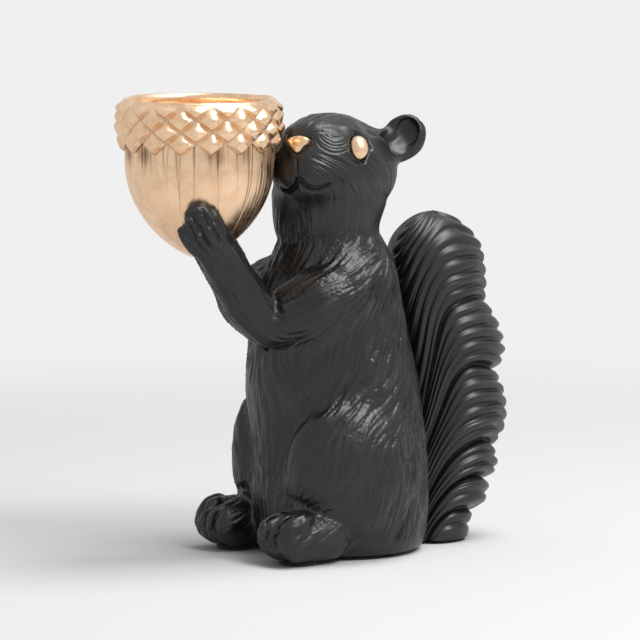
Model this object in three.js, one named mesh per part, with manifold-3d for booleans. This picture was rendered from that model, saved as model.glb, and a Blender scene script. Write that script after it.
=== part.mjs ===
// Squirrel tealight holder: a seated squirrel, cast in resin as separate pieces that are bonded together,
// holds up an acorn whose cup takes a tealight.
// Millimetres, +Z up. The squirrel sits facing -Y and its left side is +X. The pieces are laid out about the
// torso's axis on the figure's base plane, and the group is then set on its pads with the origin at the
// bottom centre of its box.

import * as THREE from "three";
import { mergeVertices } from "three/addons/utils/BufferGeometryUtils.js";
import Module from "manifold-3d";

const wasm = await Module();
wasm.setup();

// Driving dimensions, in millimetres and degrees

const glueLine = 0.3; // gap between bonded pieces

// Felt pads under the feet and the tail
const padDiameter = 11;
const padThickness = 1;

// The shoulders carry the neck, the forelegs and so the acorn
const shoulderHeight = 77;

// Torso: sections from the base up, as shares of its own sizes. lean is how far back a section's centre lies
const collarRise = 19; // from the shoulders up to the torso's top, inside the neck
const torsoHeight = shoulderHeight + collarRise;
const torsoHalfWidth = 26;
const torsoHalfDepth = 26.5;
const torsoSections = [
  { height: 0, lean: 0.04, width: 0.92, depth: 0.91 },
  { height: 0.075, lean: 0.04, width: 1, depth: 0.98 },
  { height: 0.27, lean: 0.02, width: 1, depth: 1 },
  { height: 0.46, lean: -0.06, width: 0.94, depth: 0.98 },
  { height: 0.6, lean: -0.11, width: 0.89, depth: 0.94 },
  { height: 0.75, lean: -0.09, width: 0.82, depth: 0.81 },
  { height: 0.875, lean: -0.06, width: 0.69, depth: 0.7 },
  { height: 1, lean: -0.04, width: 0.54, depth: 0.53 },
];

// Muscle over each shoulder blade, between the neck and the foreleg, as on the left side
const bladeCentre = new THREE.Vector3(13, -0.5, shoulderHeight);
const bladeHalfWidth = 9.2;
const bladeHalfLength = 12.5;
const bladeHalfHeight = 14;

// Thighs and hind feet, as on the left side
const thighCentre = new THREE.Vector3(14.2, -3.5, 24.5);
const thighHalfWidth = 16.5;
const thighHalfLength = 22;
const thighHalfHeight = 25;
const footSpread = 17; // from the middle plane to the middle of a foot
const footHeel = -9; // the foot's back and front ends along Y
const footFront = -31;
const footHalfWidth = 9.5;
const footHeight = 15;
const toeCount = 4;
const toeRadius = 3.8;
const toeLength = 13;

// Forelegs: shoulder, elbow and wrist, and the paw that meets the acorn
const elbowDrop = 10; // from the shoulders down to the left elbow
const leftShoulder = new THREE.Vector3(15, -5, shoulderHeight);
const rightShoulder = new THREE.Vector3(-16, -4, shoulderHeight);
const bladeBack = 5; // from a shoulder back to where the foreleg starts, inside the torso
const leftElbow = new THREE.Vector3(5, -29, shoulderHeight - elbowDrop);
const rightElbow = new THREE.Vector3(-12, -22.5, shoulderHeight - elbowDrop + 1);
const armSpread = 1.4; // how far the upper arm stands out beside a straight line to the elbow
const shoulderRadius = 11.2;
const elbowRadius = 8;
const wristRadius = 6.2;
const pawRadius = 7;
const pawDrop = 36; // from the acorn's rim down to the middle of a paw
const pawSink = 5; // how far inside the nut's side the middle of a paw lies
const fingerCount = 4;
const fingerRadius = 2;
const fingerReach = 6; // from the middle of a paw to its fingertips
const leftPawBearing = -30; // where each paw holds the acorn, in degrees from +X about its axis
const rightPawBearing = 147;

// Acorn: the nut is a cup with a straight well for the tealight, and the cap is a scaled collar on its neck
const wellDiameter = 40;
const wellDepth = 17;
const nutWall = 1.5; // beside the well
const nutHeight = 46.4; // from the rim to the tip
const capThickness = 3.5; // beyond the nut's side
const capHeight = 15.2;
const acornBearing = -99; // from the neck to the acorn, in degrees from +X
const acornStandoff = 18.2; // from the neck's axis to the near side of the cap
const rimRise = 21.9; // from the middle of the skull up to the rim
const lipDrop = 4; // from the rim to the top of the nut's neck, under the cap's lip
const scaleCount = 16;
const scaleRelief = 0.9;

const nutDiameter = wellDiameter + 2 * nutWall;
const capDiameter = nutDiameter + 2 * capThickness;

// Head, in its own frame with the origin at the middle of the skull, turned to the left, raised and tilted
const headRise = 33.5; // from the shoulders up to the middle of the skull
const headTurn = 29;
const headRaise = 20;
const headTilt = 6;
const skullHalfWidth = 17;
const skullHalfLength = 17;
const skullHalfHeight = 15.8;
const browRise = 2; // how far the forehead stands above an even sweep
const muzzleReach = 25.5; // from the middle of the skull to the front of the muzzle
const muzzleDrop = 4.5; // how far the muzzle lies below the middle of the skull
const muzzleHalfWidth = 10.5;
const muzzleHalfHeight = 11;
const neckRadius = 15.5;
const throatDepth = 2; // how much deeper than wide the neck is
const neckDepth = 27; // from the middle of the skull to the bottom of the neck's stub
const eyeDiameter = 6.6;
const eyeSpread = 27.4; // between the middles of the eyes
const eyeRise = 1.6; // above the middle of the skull
const noseWidth = 7.4;
const noseRise = 0.3;
const earHeight = 15;
const earWidth = 13;
const earThickness = 7;

// Tail: sections from the base up, as shares of its own sizes. Its tufts, each with a few ridges, run level
// round the back edge and sweep down to the front
const tailHeight = 96.5;
const tailBack = 41; // from the torso's axis to the middle of the tail's fullest section
const tailHalfWidth = 14;
const tailHalfDepth = 17;
const tailSections = [
  { height: 0, back: 0.78, width: 0.79, depth: 0.66 },
  { height: 0.145, back: 0.91, width: 0.93, depth: 0.92 },
  { height: 0.375, back: 1, width: 1, depth: 1 },
  { height: 0.58, back: 0.975, width: 1, depth: 1 },
  { height: 0.765, back: 0.89, width: 0.96, depth: 0.97 },
  { height: 0.91, back: 0.83, width: 0.82, depth: 0.88 },
  { height: 1, back: 0.805, width: 0.68, depth: 0.7 },
];
const tufts = [
  // the notch under each tuft, at the back edge as a share of the height, and the tuft's ridges
  { notch: -0.083, ridges: 4 },
  { notch: 0.098, ridges: 2 },
  { notch: 0.195, ridges: 3 },
  { notch: 0.295, ridges: 6 },
  { notch: 0.535, ridges: 5 },
  { notch: 0.74, ridges: 22 },
];
const crownNotch = 1.66; // where the top tuft would end
const tuftDepth = 0.27; // share of the section that a notch takes away
const tuftBelly = 0.35; // where a tuft is fullest, as a share of its height
const tuftSweep = 46; // how much lower a tuft starts at the tail's front edge
const crownSweep = 20; // the same at the top
const tuftCurl = 7; // the higher, the flatter a tuft runs near the back edge
const tuftDroop = 4; // how far a tuft hangs at the back edge itself
const ridgeHeight = 1.1;
const crownRound = 12; // height of the rounded top

const headHeight = shoulderHeight + headRise;
const headCentre = new THREE.Vector3(0, 0, headHeight);
const rimHeight = headHeight + rimRise;
const acornReach = acornStandoff + capDiameter / 2;
const acornAngle = THREE.MathUtils.degToRad(acornBearing);
const acornAxis = new THREE.Vector3(acornReach * Math.cos(acornAngle), acornReach * Math.sin(acornAngle), 0);

// Materials

const resin = new THREE.MeshStandardMaterial({ color: 0x27292a, roughness: 0.55, metalness: 0 });
const gold = new THREE.MeshStandardMaterial({ color: 0xd9a96c, roughness: 0.35, metalness: 0.85 });
const felt = new THREE.MeshStandardMaterial({ color: 0x1c1c1e, roughness: 0.95, metalness: 0 });

// Solids and meshes

// A closed geometry as a solid for joining and cutting. Faces that have shrunk to a line are dropped.
function solid(geometry) {
  const bare = new THREE.BufferGeometry();
  bare.setAttribute("position", geometry.getAttribute("position"));
  bare.setIndex(geometry.index);
  const merged = mergeVertices(bare, 1e-4);
  const corners = [];
  for (let face = 0; face < merged.index.count; face += 3) {
    const [a, b, c] = merged.index.array.slice(face, face + 3);
    if (a !== b && b !== c && c !== a) corners.push(a, b, c);
  }
  return new wasm.Manifold(
    new wasm.Mesh({
      numProp: 3,
      vertProperties: merged.getAttribute("position").array,
      triVerts: Uint32Array.from(corners),
    }),
  );
}

function join(...solids) {
  return solids.reduce((whole, next) => whole.add(next));
}

function cut(whole, ...cutters) {
  return cutters.reduce((left, cutter) => left.subtract(cutter), whole);
}

function mesh(name, shape, material) {
  const { vertProperties, triVerts } = shape.getMesh();
  const geometry = new THREE.BufferGeometry();
  geometry.setAttribute("position", new THREE.BufferAttribute(vertProperties, 3));
  geometry.setIndex(new THREE.BufferAttribute(triVerts, 1));
  geometry.computeVertexNormals();
  const made = new THREE.Mesh(geometry, material);
  made.name = name;
  return made;
}

// Forms

// A closed skin over a stack of rings of points, with a fan from each end point
function skin(rings, start, end) {
  const sides = rings[0].length;
  const points = [...rings.flat(), start, end];
  const startIndex = points.length - 2;
  const endIndex = points.length - 1;
  const lastRing = (rings.length - 1) * sides;
  const faces = [];
  for (let side = 0; side < sides; side++) {
    const next = (side + 1) % sides;
    faces.push(startIndex, next, side, endIndex, lastRing + side, lastRing + next);
    for (let ring = 0; ring < lastRing; ring += sides) {
      const [a, b, c, d] = [ring + side, ring + next, ring + sides + next, ring + sides + side];
      faces.push(a, b, c, a, c, d);
    }
  }
  const geometry = new THREE.BufferGeometry().setFromPoints(points);
  geometry.setIndex(faces);
  return geometry;
}

// A ball with three radii, turned about its middle
function ellipsoid(centre, radii, { turn = new THREE.Euler(), grow = 0, segments = 24, bands = 16 } = {}) {
  const ball = new THREE.SphereGeometry(1, segments, bands);
  ball.scale(radii.x + grow, radii.y + grow, radii.z + grow);
  ball.applyMatrix4(new THREE.Matrix4().makeRotationFromEuler(turn));
  ball.translate(centre.x, centre.y, centre.z);
  return ball;
}

// An oval section swept along a smooth line. A stop is a point on the line with the section's half size along
// `side` and its half size square to that. Each end is rounded over its nose, or flat where that is 0.
function limb({ stops, side, startNose = 0, endNose = 0, rings = 18, sides = 18, grow = 0 }) {
  const line = new THREE.CatmullRomCurve3(stops.map((stop) => stop.at), false, "catmullrom", 0.5);
  const sizes = new THREE.CatmullRomCurve3(
    stops.map((stop) => new THREE.Vector3(stop.across, stop.deep, 0)),
    false,
    "catmullrom",
    0.5,
  );
  const spacing = (step) => (1 - Math.cos((Math.PI * step) / rings)) / 2;
  const centres = [];
  const lengths = [0];
  for (let step = 0; step <= rings; step++) {
    centres.push(line.getPoint(spacing(step)));
    if (step > 0) lengths.push(lengths[step - 1] + centres[step].distanceTo(centres[step - 1]));
  }
  const round = (distance, nose) => (distance < nose ? Math.sqrt(1 - (1 - distance / nose) ** 2) : 1);
  const made = [];
  for (let step = startNose ? 1 : 0; step <= rings - (endNose ? 1 : 0); step++) {
    const tangent = line.getTangent(spacing(step));
    const across = side.clone().addScaledVector(tangent, -side.dot(tangent)).normalize();
    const deep = tangent.clone().cross(across);
    const size = sizes.getPoint(spacing(step));
    const scale = round(lengths[step], startNose) * round(lengths[rings] - lengths[step], endNose);
    const ring = [];
    for (let turn = 0; turn < sides; turn++) {
      const angle = (2 * Math.PI * turn) / sides;
      ring.push(
        centres[step]
          .clone()
          .addScaledVector(across, (size.x * scale + grow) * Math.cos(angle))
          .addScaledVector(deep, (size.y * scale + grow) * Math.sin(angle)),
      );
    }
    made.push(ring);
  }
  const start = centres[0].clone().addScaledVector(line.getTangent(0), startNose ? -grow : 0);
  const end = centres[rings].clone().addScaledVector(line.getTangent(1), endNose ? grow : 0);
  return skin(made, start, end);
}

const stop = (x, y, z, across, deep = across) => ({ at: new THREE.Vector3(x, y, z), across, deep });
const left = new THREE.Vector3(1, 0, 0);
const sides = { left: 1, right: -1 };

// Everything below the figure's base plane, to cut its underside flat
function ground() {
  const block = new THREE.BoxGeometry(300, 300, 40);
  block.translate(0, 0, -20);
  return solid(block);
}

// Acorn

// The nut's outside from its neck to its tip, as radius and depth below the rim
function nutOutline() {
  const radius = nutDiameter / 2;
  const shoulder = capHeight + 3;
  const drop = nutHeight - shoulder;
  const points = [new THREE.Vector2(radius, -lipDrop)];
  const steps = 9;
  for (let step = 0; step <= steps; step++) {
    const share = step / steps;
    const angle = (share * Math.PI) / 2;
    points.push(new THREE.Vector2(radius * Math.cos(angle) ** 1.4, -shoulder - drop * Math.sin(angle)));
  }
  return points;
}

function nutCup() {
  const well = wellDiameter / 2;
  const wall = new THREE.Vector2(well, -lipDrop);
  const floor = new THREE.Vector2(well, -wellDepth);
  const middle = new THREE.Vector2(0, -wellDepth);
  const profile = [...nutOutline().reverse(), wall, floor, middle];
  profile[0].x = 0;
  const cup = new THREE.LatheGeometry(profile, 44);
  cup.rotateX(Math.PI / 2);
  return cup;
}

// The nut without its well, to cut what holds it
function nutBlank(grow) {
  const profile = nutOutline()
    .reverse()
    .map((point) => new THREE.Vector2(point.x + grow, point.y));
  profile[0].set(0, -nutHeight - grow);
  profile.push(new THREE.Vector2(0, -lipDrop));
  const blank = new THREE.LatheGeometry(profile, 48);
  blank.rotateX(Math.PI / 2);
  blank.translate(acornAxis.x, acornAxis.y, rimHeight);
  return solid(blank);
}

// The cap's outside from the lip to the lower edge, at a share of its height, as radius and depth
function capOutline(share) {
  const lip = wellDiameter / 2 + 1.6;
  const bulge = capDiameter / 2 - scaleRelief;
  const foot = nutDiameter / 2 + 0.8;
  const line = new THREE.CatmullRomCurve3([
    new THREE.Vector3(lip, 0, 0),
    new THREE.Vector3((lip + bulge) / 2 + 0.6, -capHeight * 0.07, 0),
    new THREE.Vector3(bulge - 0.2, -capHeight * 0.32, 0),
    new THREE.Vector3(bulge, -capHeight * 0.55, 0),
    new THREE.Vector3(bulge - 0.9, -capHeight * 0.8, 0),
    new THREE.Vector3(foot, -capHeight, 0),
  ]);
  return line.getPoint(share);
}

// A collar swept round the axis, with raised scales in staggered rows. The scales are diamonds whose edges
// run between the points of a grid, two columns to a scale and two rows to a scale's height, and the last
// row stands free as the points of the lower edge.
function capCollar() {
  const split = 2; // grid steps in half a scale, both ways
  const columns = scaleCount * 2 * split;
  const halfRows = 3;
  const neck = nutDiameter / 2 + glueLine;
  const well = wellDiameter / 2;
  const ledge = lipDrop - glueLine;
  const lipShare = 0.13; // share of the outline that the smooth lip takes
  const groove = (line) => Math.abs(Math.sin(Math.PI * line));
  const points = [];
  for (let column = 0; column < columns; column++) {
    const across = column / (2 * split);
    const tip = Math.max(0.06, Math.abs(2 * (across - Math.floor(across)) - 1)); // 1 at a scale's point
    const profile = [new THREE.Vector2(well, -ledge), new THREE.Vector2(well, -1.2)];
    for (const share of [0, 0.5]) {
      const place = capOutline(share * lipShare);
      profile.push(new THREE.Vector2(place.x, place.y));
    }
    for (let row = 0; row <= (halfRows + 1) * split; row++) {
      const past = Math.max(0, row / split - halfRows);
      const along = row / split - past + past * tip;
      const place = capOutline(lipShare + ((1 - lipShare) * along) / (halfRows + 1));
      const cushion = Math.sqrt(groove(across + along / 2) * groove(across - along / 2));
      profile.push(new THREE.Vector2(place.x + scaleRelief * cushion, place.y));
    }
    profile.push(new THREE.Vector2(neck, profile.at(-1).y), new THREE.Vector2(neck, -ledge));
    const angle = (2 * Math.PI * column) / columns;
    points.push(profile.map((p) => new THREE.Vector3(p.x * Math.cos(angle), p.x * Math.sin(angle), p.y)));
  }
  const loop = points[0].length;
  const firstRow = 4; // the rows before it are the well's wall and the lip
  const faces = [];
  for (let column = 0; column < columns; column++) {
    const here = column * loop;
    const there = ((column + 1) % columns) * loop;
    for (let row = 0; row < loop; row++) {
      const next = (row + 1) % loop;
      const [a, b, c, d] = [here + row, there + row, there + next, here + next];
      const falling = (Math.floor(column / split) + Math.floor((row - firstRow) / split)) % 2 === 0;
      faces.push(...(falling ? [a, c, b, a, d, c] : [a, d, b, b, d, c]));
    }
  }
  const collar = new THREE.BufferGeometry().setFromPoints(points.flat());
  collar.setIndex(faces);
  return collar;
}

// The cap's outer bulk, to cut what lies against it
function capBlank(grow) {
  const steps = 7;
  const profile = [new THREE.Vector2(0, -capHeight - grow)];
  for (let step = steps; step >= 0; step--) {
    const place = capOutline(step / steps);
    profile.push(new THREE.Vector2(place.x + scaleRelief + grow, place.y - (step === steps ? grow : 0)));
  }
  profile.push(new THREE.Vector2(0, 0));
  const blank = new THREE.LatheGeometry(profile, 48);
  blank.rotateX(Math.PI / 2);
  blank.translate(acornAxis.x, acornAxis.y, rimHeight);
  return solid(blank);
}

// Head

// Puts a form that is modelled in the head's own frame in its place on the figure
function onHead(geometry) {
  const turn = new THREE.Euler(
    -THREE.MathUtils.degToRad(headRaise),
    -THREE.MathUtils.degToRad(headTilt),
    THREE.MathUtils.degToRad(headTurn),
    "ZXY",
  );
  geometry.applyMatrix4(new THREE.Matrix4().makeRotationFromEuler(turn));
  geometry.translate(headCentre.x, headCentre.y, headCentre.z);
  return solid(geometry);
}

// The skull and the muzzle in one sweep from the back of the head to its front
function skull(grow = 0) {
  const bridge = -(skullHalfLength + muzzleReach) / 2;
  const brow = browRise / 2;
  const cheekHalfWidth = skullHalfWidth - 1.8;
  return limb({
    stops: [
      stop(0, skullHalfLength, -1, skullHalfWidth - 3, skullHalfHeight - 3),
      stop(0, skullHalfLength * 0.45, 0, skullHalfWidth - 0.5, skullHalfHeight - 0.5),
      stop(0, -skullHalfLength * 0.2, brow / 2 - muzzleDrop / 4, skullHalfWidth, skullHalfHeight - 0.3 + brow / 2),
      stop(0, -skullHalfLength * 0.65, brow - muzzleDrop * 0.6, cheekHalfWidth, skullHalfHeight - 1.8 + brow),
      stop(0, bridge, brow / 2 - muzzleDrop, muzzleHalfWidth, muzzleHalfHeight + brow / 2),
      stop(0, -muzzleReach, -muzzleDrop, muzzleHalfWidth - 3.5, muzzleHalfHeight - 2.5),
    ],
    side: left,
    startNose: 12,
    endNose: 6,
    rings: 18,
    sides: 24,
    grow,
  });
}

// Where a line from the front, at a sideways and an upward place, meets the face
const face = new THREE.Mesh(skull());
function onFace(x, z) {
  const line = new THREE.Raycaster(new THREE.Vector3(x, -10 * muzzleReach, z), new THREE.Vector3(0, 1, 0));
  return line.intersectObject(face)[0].point;
}

function eye(side, grow = 0) {
  const at = onFace((sides[side] * eyeSpread) / 2, eyeRise);
  const radius = eyeDiameter / 2;
  at.add(new THREE.Vector3(-sides[side] * radius * 0.25, radius * 0.3, 0));
  const size = new THREE.Vector3(radius, radius, radius * 1.1);
  return onHead(ellipsoid(at, size, { grow, segments: 14, bands: 8 }));
}

function nose(grow = 0) {
  const half = noseWidth / 2;
  const outline = new THREE.Shape();
  outline.moveTo(-half - grow, 1.2 + grow);
  outline.quadraticCurveTo(0, 3.4 + grow, half + grow, 1.2 + grow);
  outline.quadraticCurveTo(half * 0.6 + grow, -1.6, 0, -3 - grow);
  outline.quadraticCurveTo(-half * 0.6 - grow, -1.6, -half - grow, 1.2 + grow);
  const pad = new THREE.ExtrudeGeometry(outline, {
    depth: 3 + 2 * grow,
    bevelEnabled: true,
    bevelThickness: 1.2,
    bevelSize: 0.8,
    bevelOffset: -0.8,
    bevelSegments: 2,
    curveSegments: 5,
  });
  pad.rotateX(Math.PI / 2);
  pad.translate(0, onFace(0, noseRise).y + 2.6 + grow, noseRise);
  return onHead(pad);
}

const earPlace = new THREE.Vector3(skullHalfWidth - 0.5, skullHalfLength * 0.53, skullHalfHeight * 0.7);

function ear(side, grow = 0) {
  const hand = sides[side];
  const place = new THREE.Vector3(hand * earPlace.x, earPlace.y, earPlace.z);
  const turn = new THREE.Euler(0.35, hand * 0.55, hand * 0.5, "ZYX");
  const size = new THREE.Vector3(earWidth / 2, earThickness / 2, earHeight / 2);
  return onHead(ellipsoid(place, size, { turn, grow, segments: 16, bands: 8 }));
}

function earHollow(side) {
  const hand = sides[side];
  const place = new THREE.Vector3(hand * (earPlace.x + 1.6), earPlace.y - 3, earPlace.z + 0.6);
  const turn = new THREE.Euler(0.35, hand * 0.55, hand * 0.5, "ZYX");
  const size = new THREE.Vector3(earWidth / 2 - 2.4, earThickness / 2, earHeight / 2 - 2.6);
  return onHead(ellipsoid(place, size, { turn, segments: 14, bands: 8 }));
}

// The skull, the ears and the neck as one body
function headBlank(grow = 0) {
  const { x, y, z } = headCentre;
  const neck = limb({
    stops: [
      stop(x, y, z - neckDepth, neckRadius - 2),
      stop(x, y - 1.5, z - neckDepth * 0.66, neckRadius - 0.5, neckRadius - 0.5 + throatDepth),
      stop(x, y - 2.5, z - neckDepth * 0.36, neckRadius + 0.5, neckRadius + 0.5 + throatDepth),
      stop(x, y, z, neckRadius),
    ],
    side: left,
    startNose: 8,
    rings: 8,
    sides: 24,
    grow,
  });
  return join(onHead(skull(grow)), solid(neck), ear("left", grow), ear("right", grow));
}

function headCasting() {
  const features = [nose(glueLine), capBlank(glueLine), nutBlank(glueLine)];
  for (const side of Object.keys(sides)) features.push(eye(side, glueLine), earHollow(side));
  return cut(headBlank(), ...features);
}

// Forelegs

// The middle of a paw, on the nut's side at its bearing
function pawPlace(bearing) {
  const angle = THREE.MathUtils.degToRad(bearing);
  const reach = nutDiameter / 2 - pawSink;
  return new THREE.Vector3(
    acornAxis.x + reach * Math.cos(angle),
    acornAxis.y + reach * Math.sin(angle),
    rimHeight - pawDrop,
  );
}

function foreleg(side, grow = 0) {
  const shoulder = side === "left" ? leftShoulder : rightShoulder;
  const elbow = side === "left" ? leftElbow : rightElbow;
  const paw = pawPlace(side === "left" ? leftPawBearing : rightPawBearing);
  const spread = new THREE.Vector3(sides[side] * armSpread, 0, 0);
  const along = (from, to, share, size, deep) => {
    const at = from.clone().lerp(to, share);
    return stop(at.x, at.y, at.z, size, deep);
  };
  const leg = limb({
    stops: [
      stop(shoulder.x * 0.8, shoulder.y + bladeBack, shoulder.z + 1, shoulderRadius - 2),
      along(shoulder.clone().add(spread), elbow, 0.25, shoulderRadius - 0.2),
      along(shoulder.clone().add(spread), elbow.clone().add(spread), 0.55, shoulderRadius - 1),
      along(shoulder, elbow, 0.95, elbowRadius + 0.5),
      along(elbow, paw, 0.35, elbowRadius - 1),
      along(elbow, paw, 0.75, wristRadius),
      along(elbow, paw, 1, pawRadius, pawRadius - 1),
      along(elbow, paw, 1.1, pawRadius, pawRadius - 1.5),
    ],
    side: left,
    startNose: 9,
    endNose: 3,
    rings: 20,
    sides: 16,
    grow,
  });
  // Fingers lie side by side over the end of the paw, away from the nut
  const reach = paw.clone().sub(elbow).normalize();
  const out = new THREE.Vector3(paw.x - acornAxis.x, paw.y - acornAxis.y, 0).normalize();
  const across = reach.clone().cross(out).normalize();
  const lift = across.clone().cross(reach).normalize();
  const pitch = (2 * (pawRadius - fingerRadius)) / (fingerCount - 1);
  const forms = [solid(leg)];
  for (let finger = 0; finger < fingerCount; finger++) {
    const offset = (finger - (fingerCount - 1) / 2) * pitch;
    const arch = pawRadius - fingerRadius - 0.9 - (offset * offset) / (2.4 * pawRadius);
    const knuckle = (ahead, drop) => {
      const at = paw.clone().addScaledVector(reach, ahead);
      at.addScaledVector(across, offset).addScaledVector(lift, arch - drop);
      return stop(at.x, at.y, at.z, fingerRadius);
    };
    const stops = [knuckle(-6, 0.6), knuckle(0, 0), knuckle(fingerReach - Math.abs(offset) * 0.25, 1.4)];
    forms.push(solid(limb({ stops, side: across, startNose: 3, endNose: 2, rings: 6, sides: 7, grow })));
  }
  return join(...forms);
}

const forelegCasting = (side) => cut(foreleg(side), nutBlank(glueLine));

// Body: torso, thighs and hind feet

function hindFoot(side) {
  const hand = sides[side];
  const middle = footHeight * 0.45;
  const foot = limb({
    stops: [
      stop(hand * footSpread, footHeel, middle, footHalfWidth, footHeight - middle - 0.5),
      stop(hand * footSpread, (footHeel + footFront) / 2, middle, footHalfWidth + 0.5, footHeight - middle),
      stop(hand * footSpread, footFront, middle - 0.5, footHalfWidth, footHeight - middle - 1.5),
    ],
    side: left,
    startNose: 6,
    endNose: 6,
    rings: 8,
    sides: 14,
  });
  const parts = [solid(foot)];
  const pitch = (2 * footHalfWidth - 2 * toeRadius) / (toeCount - 1);
  for (let toe = 0; toe < toeCount; toe++) {
    const offset = -footHalfWidth + toeRadius + toe * pitch;
    const reach = footFront - 5 + Math.abs(offset) * 0.25;
    const x = hand * footSpread + offset;
    parts.push(
      solid(
        limb({
          stops: [
            stop(x, reach + toeLength, middle, toeRadius, middle),
            stop(x, reach + toeLength * 0.5, middle, toeRadius, middle),
            stop(x, reach, middle - 1, toeRadius, middle - 1),
          ],
          side: left,
          startNose: 3,
          endNose: 4,
          rings: 6,
          sides: 8,
        }),
      ),
    );
  }
  return join(...parts);
}

function bodyBlank(grow = 0) {
  const torso = limb({
    stops: torsoSections.map((section) =>
      stop(
        0,
        section.lean * torsoHalfDepth,
        section.height * torsoHeight,
        section.width * torsoHalfWidth,
        section.depth * torsoHalfDepth,
      ),
    ),
    side: left,
    rings: 14,
    sides: 24,
    grow,
  });
  const forms = [solid(torso)];
  for (const side of Object.keys(sides)) {
    const centre = new THREE.Vector3(sides[side] * thighCentre.x, thighCentre.y, thighCentre.z);
    const size = new THREE.Vector3(thighHalfWidth, thighHalfLength, thighHalfHeight);
    forms.push(solid(ellipsoid(centre, size, { grow, segments: 18, bands: 11 })));
    const blade = new THREE.Vector3(sides[side] * bladeCentre.x, bladeCentre.y, bladeCentre.z);
    const bladeSize = new THREE.Vector3(bladeHalfWidth, bladeHalfLength, bladeHalfHeight);
    forms.push(solid(ellipsoid(blade, bladeSize, { grow, segments: 14, bands: 8 })));
  }
  return join(...forms);
}

function bodyCasting() {
  const whole = join(bodyBlank(), hindFoot("left"), hindFoot("right"));
  return cut(whole, ground(), headBlank(glueLine), foreleg("left", glueLine), foreleg("right", glueLine));
}

// Tail

// How full a tuft is at a level of its flow, from 0 in a notch to 1, and the height of its ridges there
function tuftForm(flow) {
  const above = tufts.findIndex((tuft) => tuft.notch * tailHeight > flow);
  const index = above < 0 ? tufts.length - 1 : Math.max(0, above - 1);
  const low = tufts[index].notch * tailHeight;
  const high = (tufts[index + 1]?.notch ?? crownNotch) * tailHeight;
  const share = THREE.MathUtils.clamp((flow - low) / (high - low), 0, 1);
  const off = share < tuftBelly ? 1 - share / tuftBelly : (share - tuftBelly) / (1 - tuftBelly);
  const crest = Math.abs(Math.sin(Math.PI * tufts[index].ridges * share));
  return { fullness: Math.sqrt(1 - off * off), rise: ridgeHeight * (crest - 0.7) };
}

// The levels of the flow that lie on a ridge's crest or in the groove beside it
function tuftLevels() {
  const levels = tufts.flatMap(({ notch, ridges }, index) => {
    const next = tufts[index + 1]?.notch ?? crownNotch;
    const steps = [...Array(2 * ridges).keys()];
    return steps.map((step) => (notch + ((next - notch) * step) / (2 * ridges)) * tailHeight);
  });
  return levels.filter((level) => level > 0 && level < tailHeight + crownSweep);
}

// A skin whose rows follow the tufts. A row that has run out at the base or the top stays there.
function tailBlank() {
  const points = 24;
  const sections = new THREE.CubicInterpolant(
    tailSections.map(({ height }) => height * tailHeight),
    tailSections.flatMap((at) => [at.back * tailBack, at.width * tailHalfWidth, at.depth * tailHalfDepth]),
    3,
  );
  const place = (level, angle) => {
    const front = (1 - Math.sin(angle)) / 2; // 0 at the tail's back edge, 1 at its front
    const lag = Math.max(0, 1 - front / 0.35) ** 2;
    const rising = THREE.MathUtils.smoothstep(level, 0.68 * tailHeight, tailHeight);
    const sweep = THREE.MathUtils.lerp(tuftSweep, crownSweep, rising);
    const shift = sweep * front ** tuftCurl + tuftDroop * lag;
    const height = THREE.MathUtils.clamp(level - shift, 0, tailHeight);
    const [back, width, depth] = sections.evaluate(height);
    const { fullness, rise } = tuftForm(height + shift);
    const below = (tailHeight - height) / crownRound;
    const round = below < 1 ? Math.sqrt(1 - (1 - below) ** 2) : 1;
    const scale = 1 - tuftDepth * (1 - fullness) * (1 - 0.6 * front);
    return new THREE.Vector3(
      (width * scale + rise) * round * Math.cos(angle),
      back + (depth * scale + rise) * round * Math.sin(angle),
      height,
    );
  };
  const rows = [0, ...tuftLevels(), tailHeight + crownSweep + tuftDroop].map((level) =>
    [...Array(points).keys()].map((turn) => place(level, (2 * Math.PI * turn) / points)),
  );
  const base = new THREE.Vector3(0, tailSections[0].back * tailBack, 0);
  const top = new THREE.Vector3(0, tailSections.at(-1).back * tailBack, tailHeight);
  return solid(skin(rows, base, top));
}

const tailCasting = () => cut(tailBlank(), bodyBlank(glueLine), headBlank(glueLine), ground());

// Pads

function pad(name, x, y) {
  const disc = new THREE.CylinderGeometry(padDiameter / 2, padDiameter / 2, padThickness, 24);
  disc.rotateX(Math.PI / 2);
  const made = mesh(name, solid(disc), felt);
  made.position.set(x, y, -padThickness / 2);
  return made;
}

// Assembly

const footPadPlace = footFront + padDiameter / 2 + 1;

const squirrel = new THREE.Group();
squirrel.add(
  mesh("body", bodyCasting(), resin),
  mesh("head", headCasting(), resin),
  mesh("left_foreleg", forelegCasting("left"), resin),
  mesh("right_foreleg", forelegCasting("right"), resin),
  mesh("tail", tailCasting(), resin),
  mesh("nose", nose(), gold),
  mesh("left_eye", eye("left"), gold),
  mesh("right_eye", eye("right"), gold),
);

const acorn = new THREE.Group();
acorn.position.set(acornAxis.x, acornAxis.y, rimHeight);
acorn.add(mesh("acorn_nut", solid(nutCup()), gold), mesh("acorn_cap", solid(capCollar()), gold));

const holder = new THREE.Group();
holder.add(
  squirrel,
  acorn,
  pad("left_foot_pad", footSpread, footPadPlace),
  pad("right_foot_pad", -footSpread, footPadPlace),
  pad("tail_pad", 0, tailSections[0].back * tailBack),
);

const box = new THREE.Box3().setFromObject(holder);
const middle = box.getCenter(new THREE.Vector3());
holder.position.set(-middle.x, -middle.y, -box.min.z);

export default holder;
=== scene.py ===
import math

import bmesh
import bpy
import numpy as np
from mathutils import Matrix, Vector, kdtree


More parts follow.
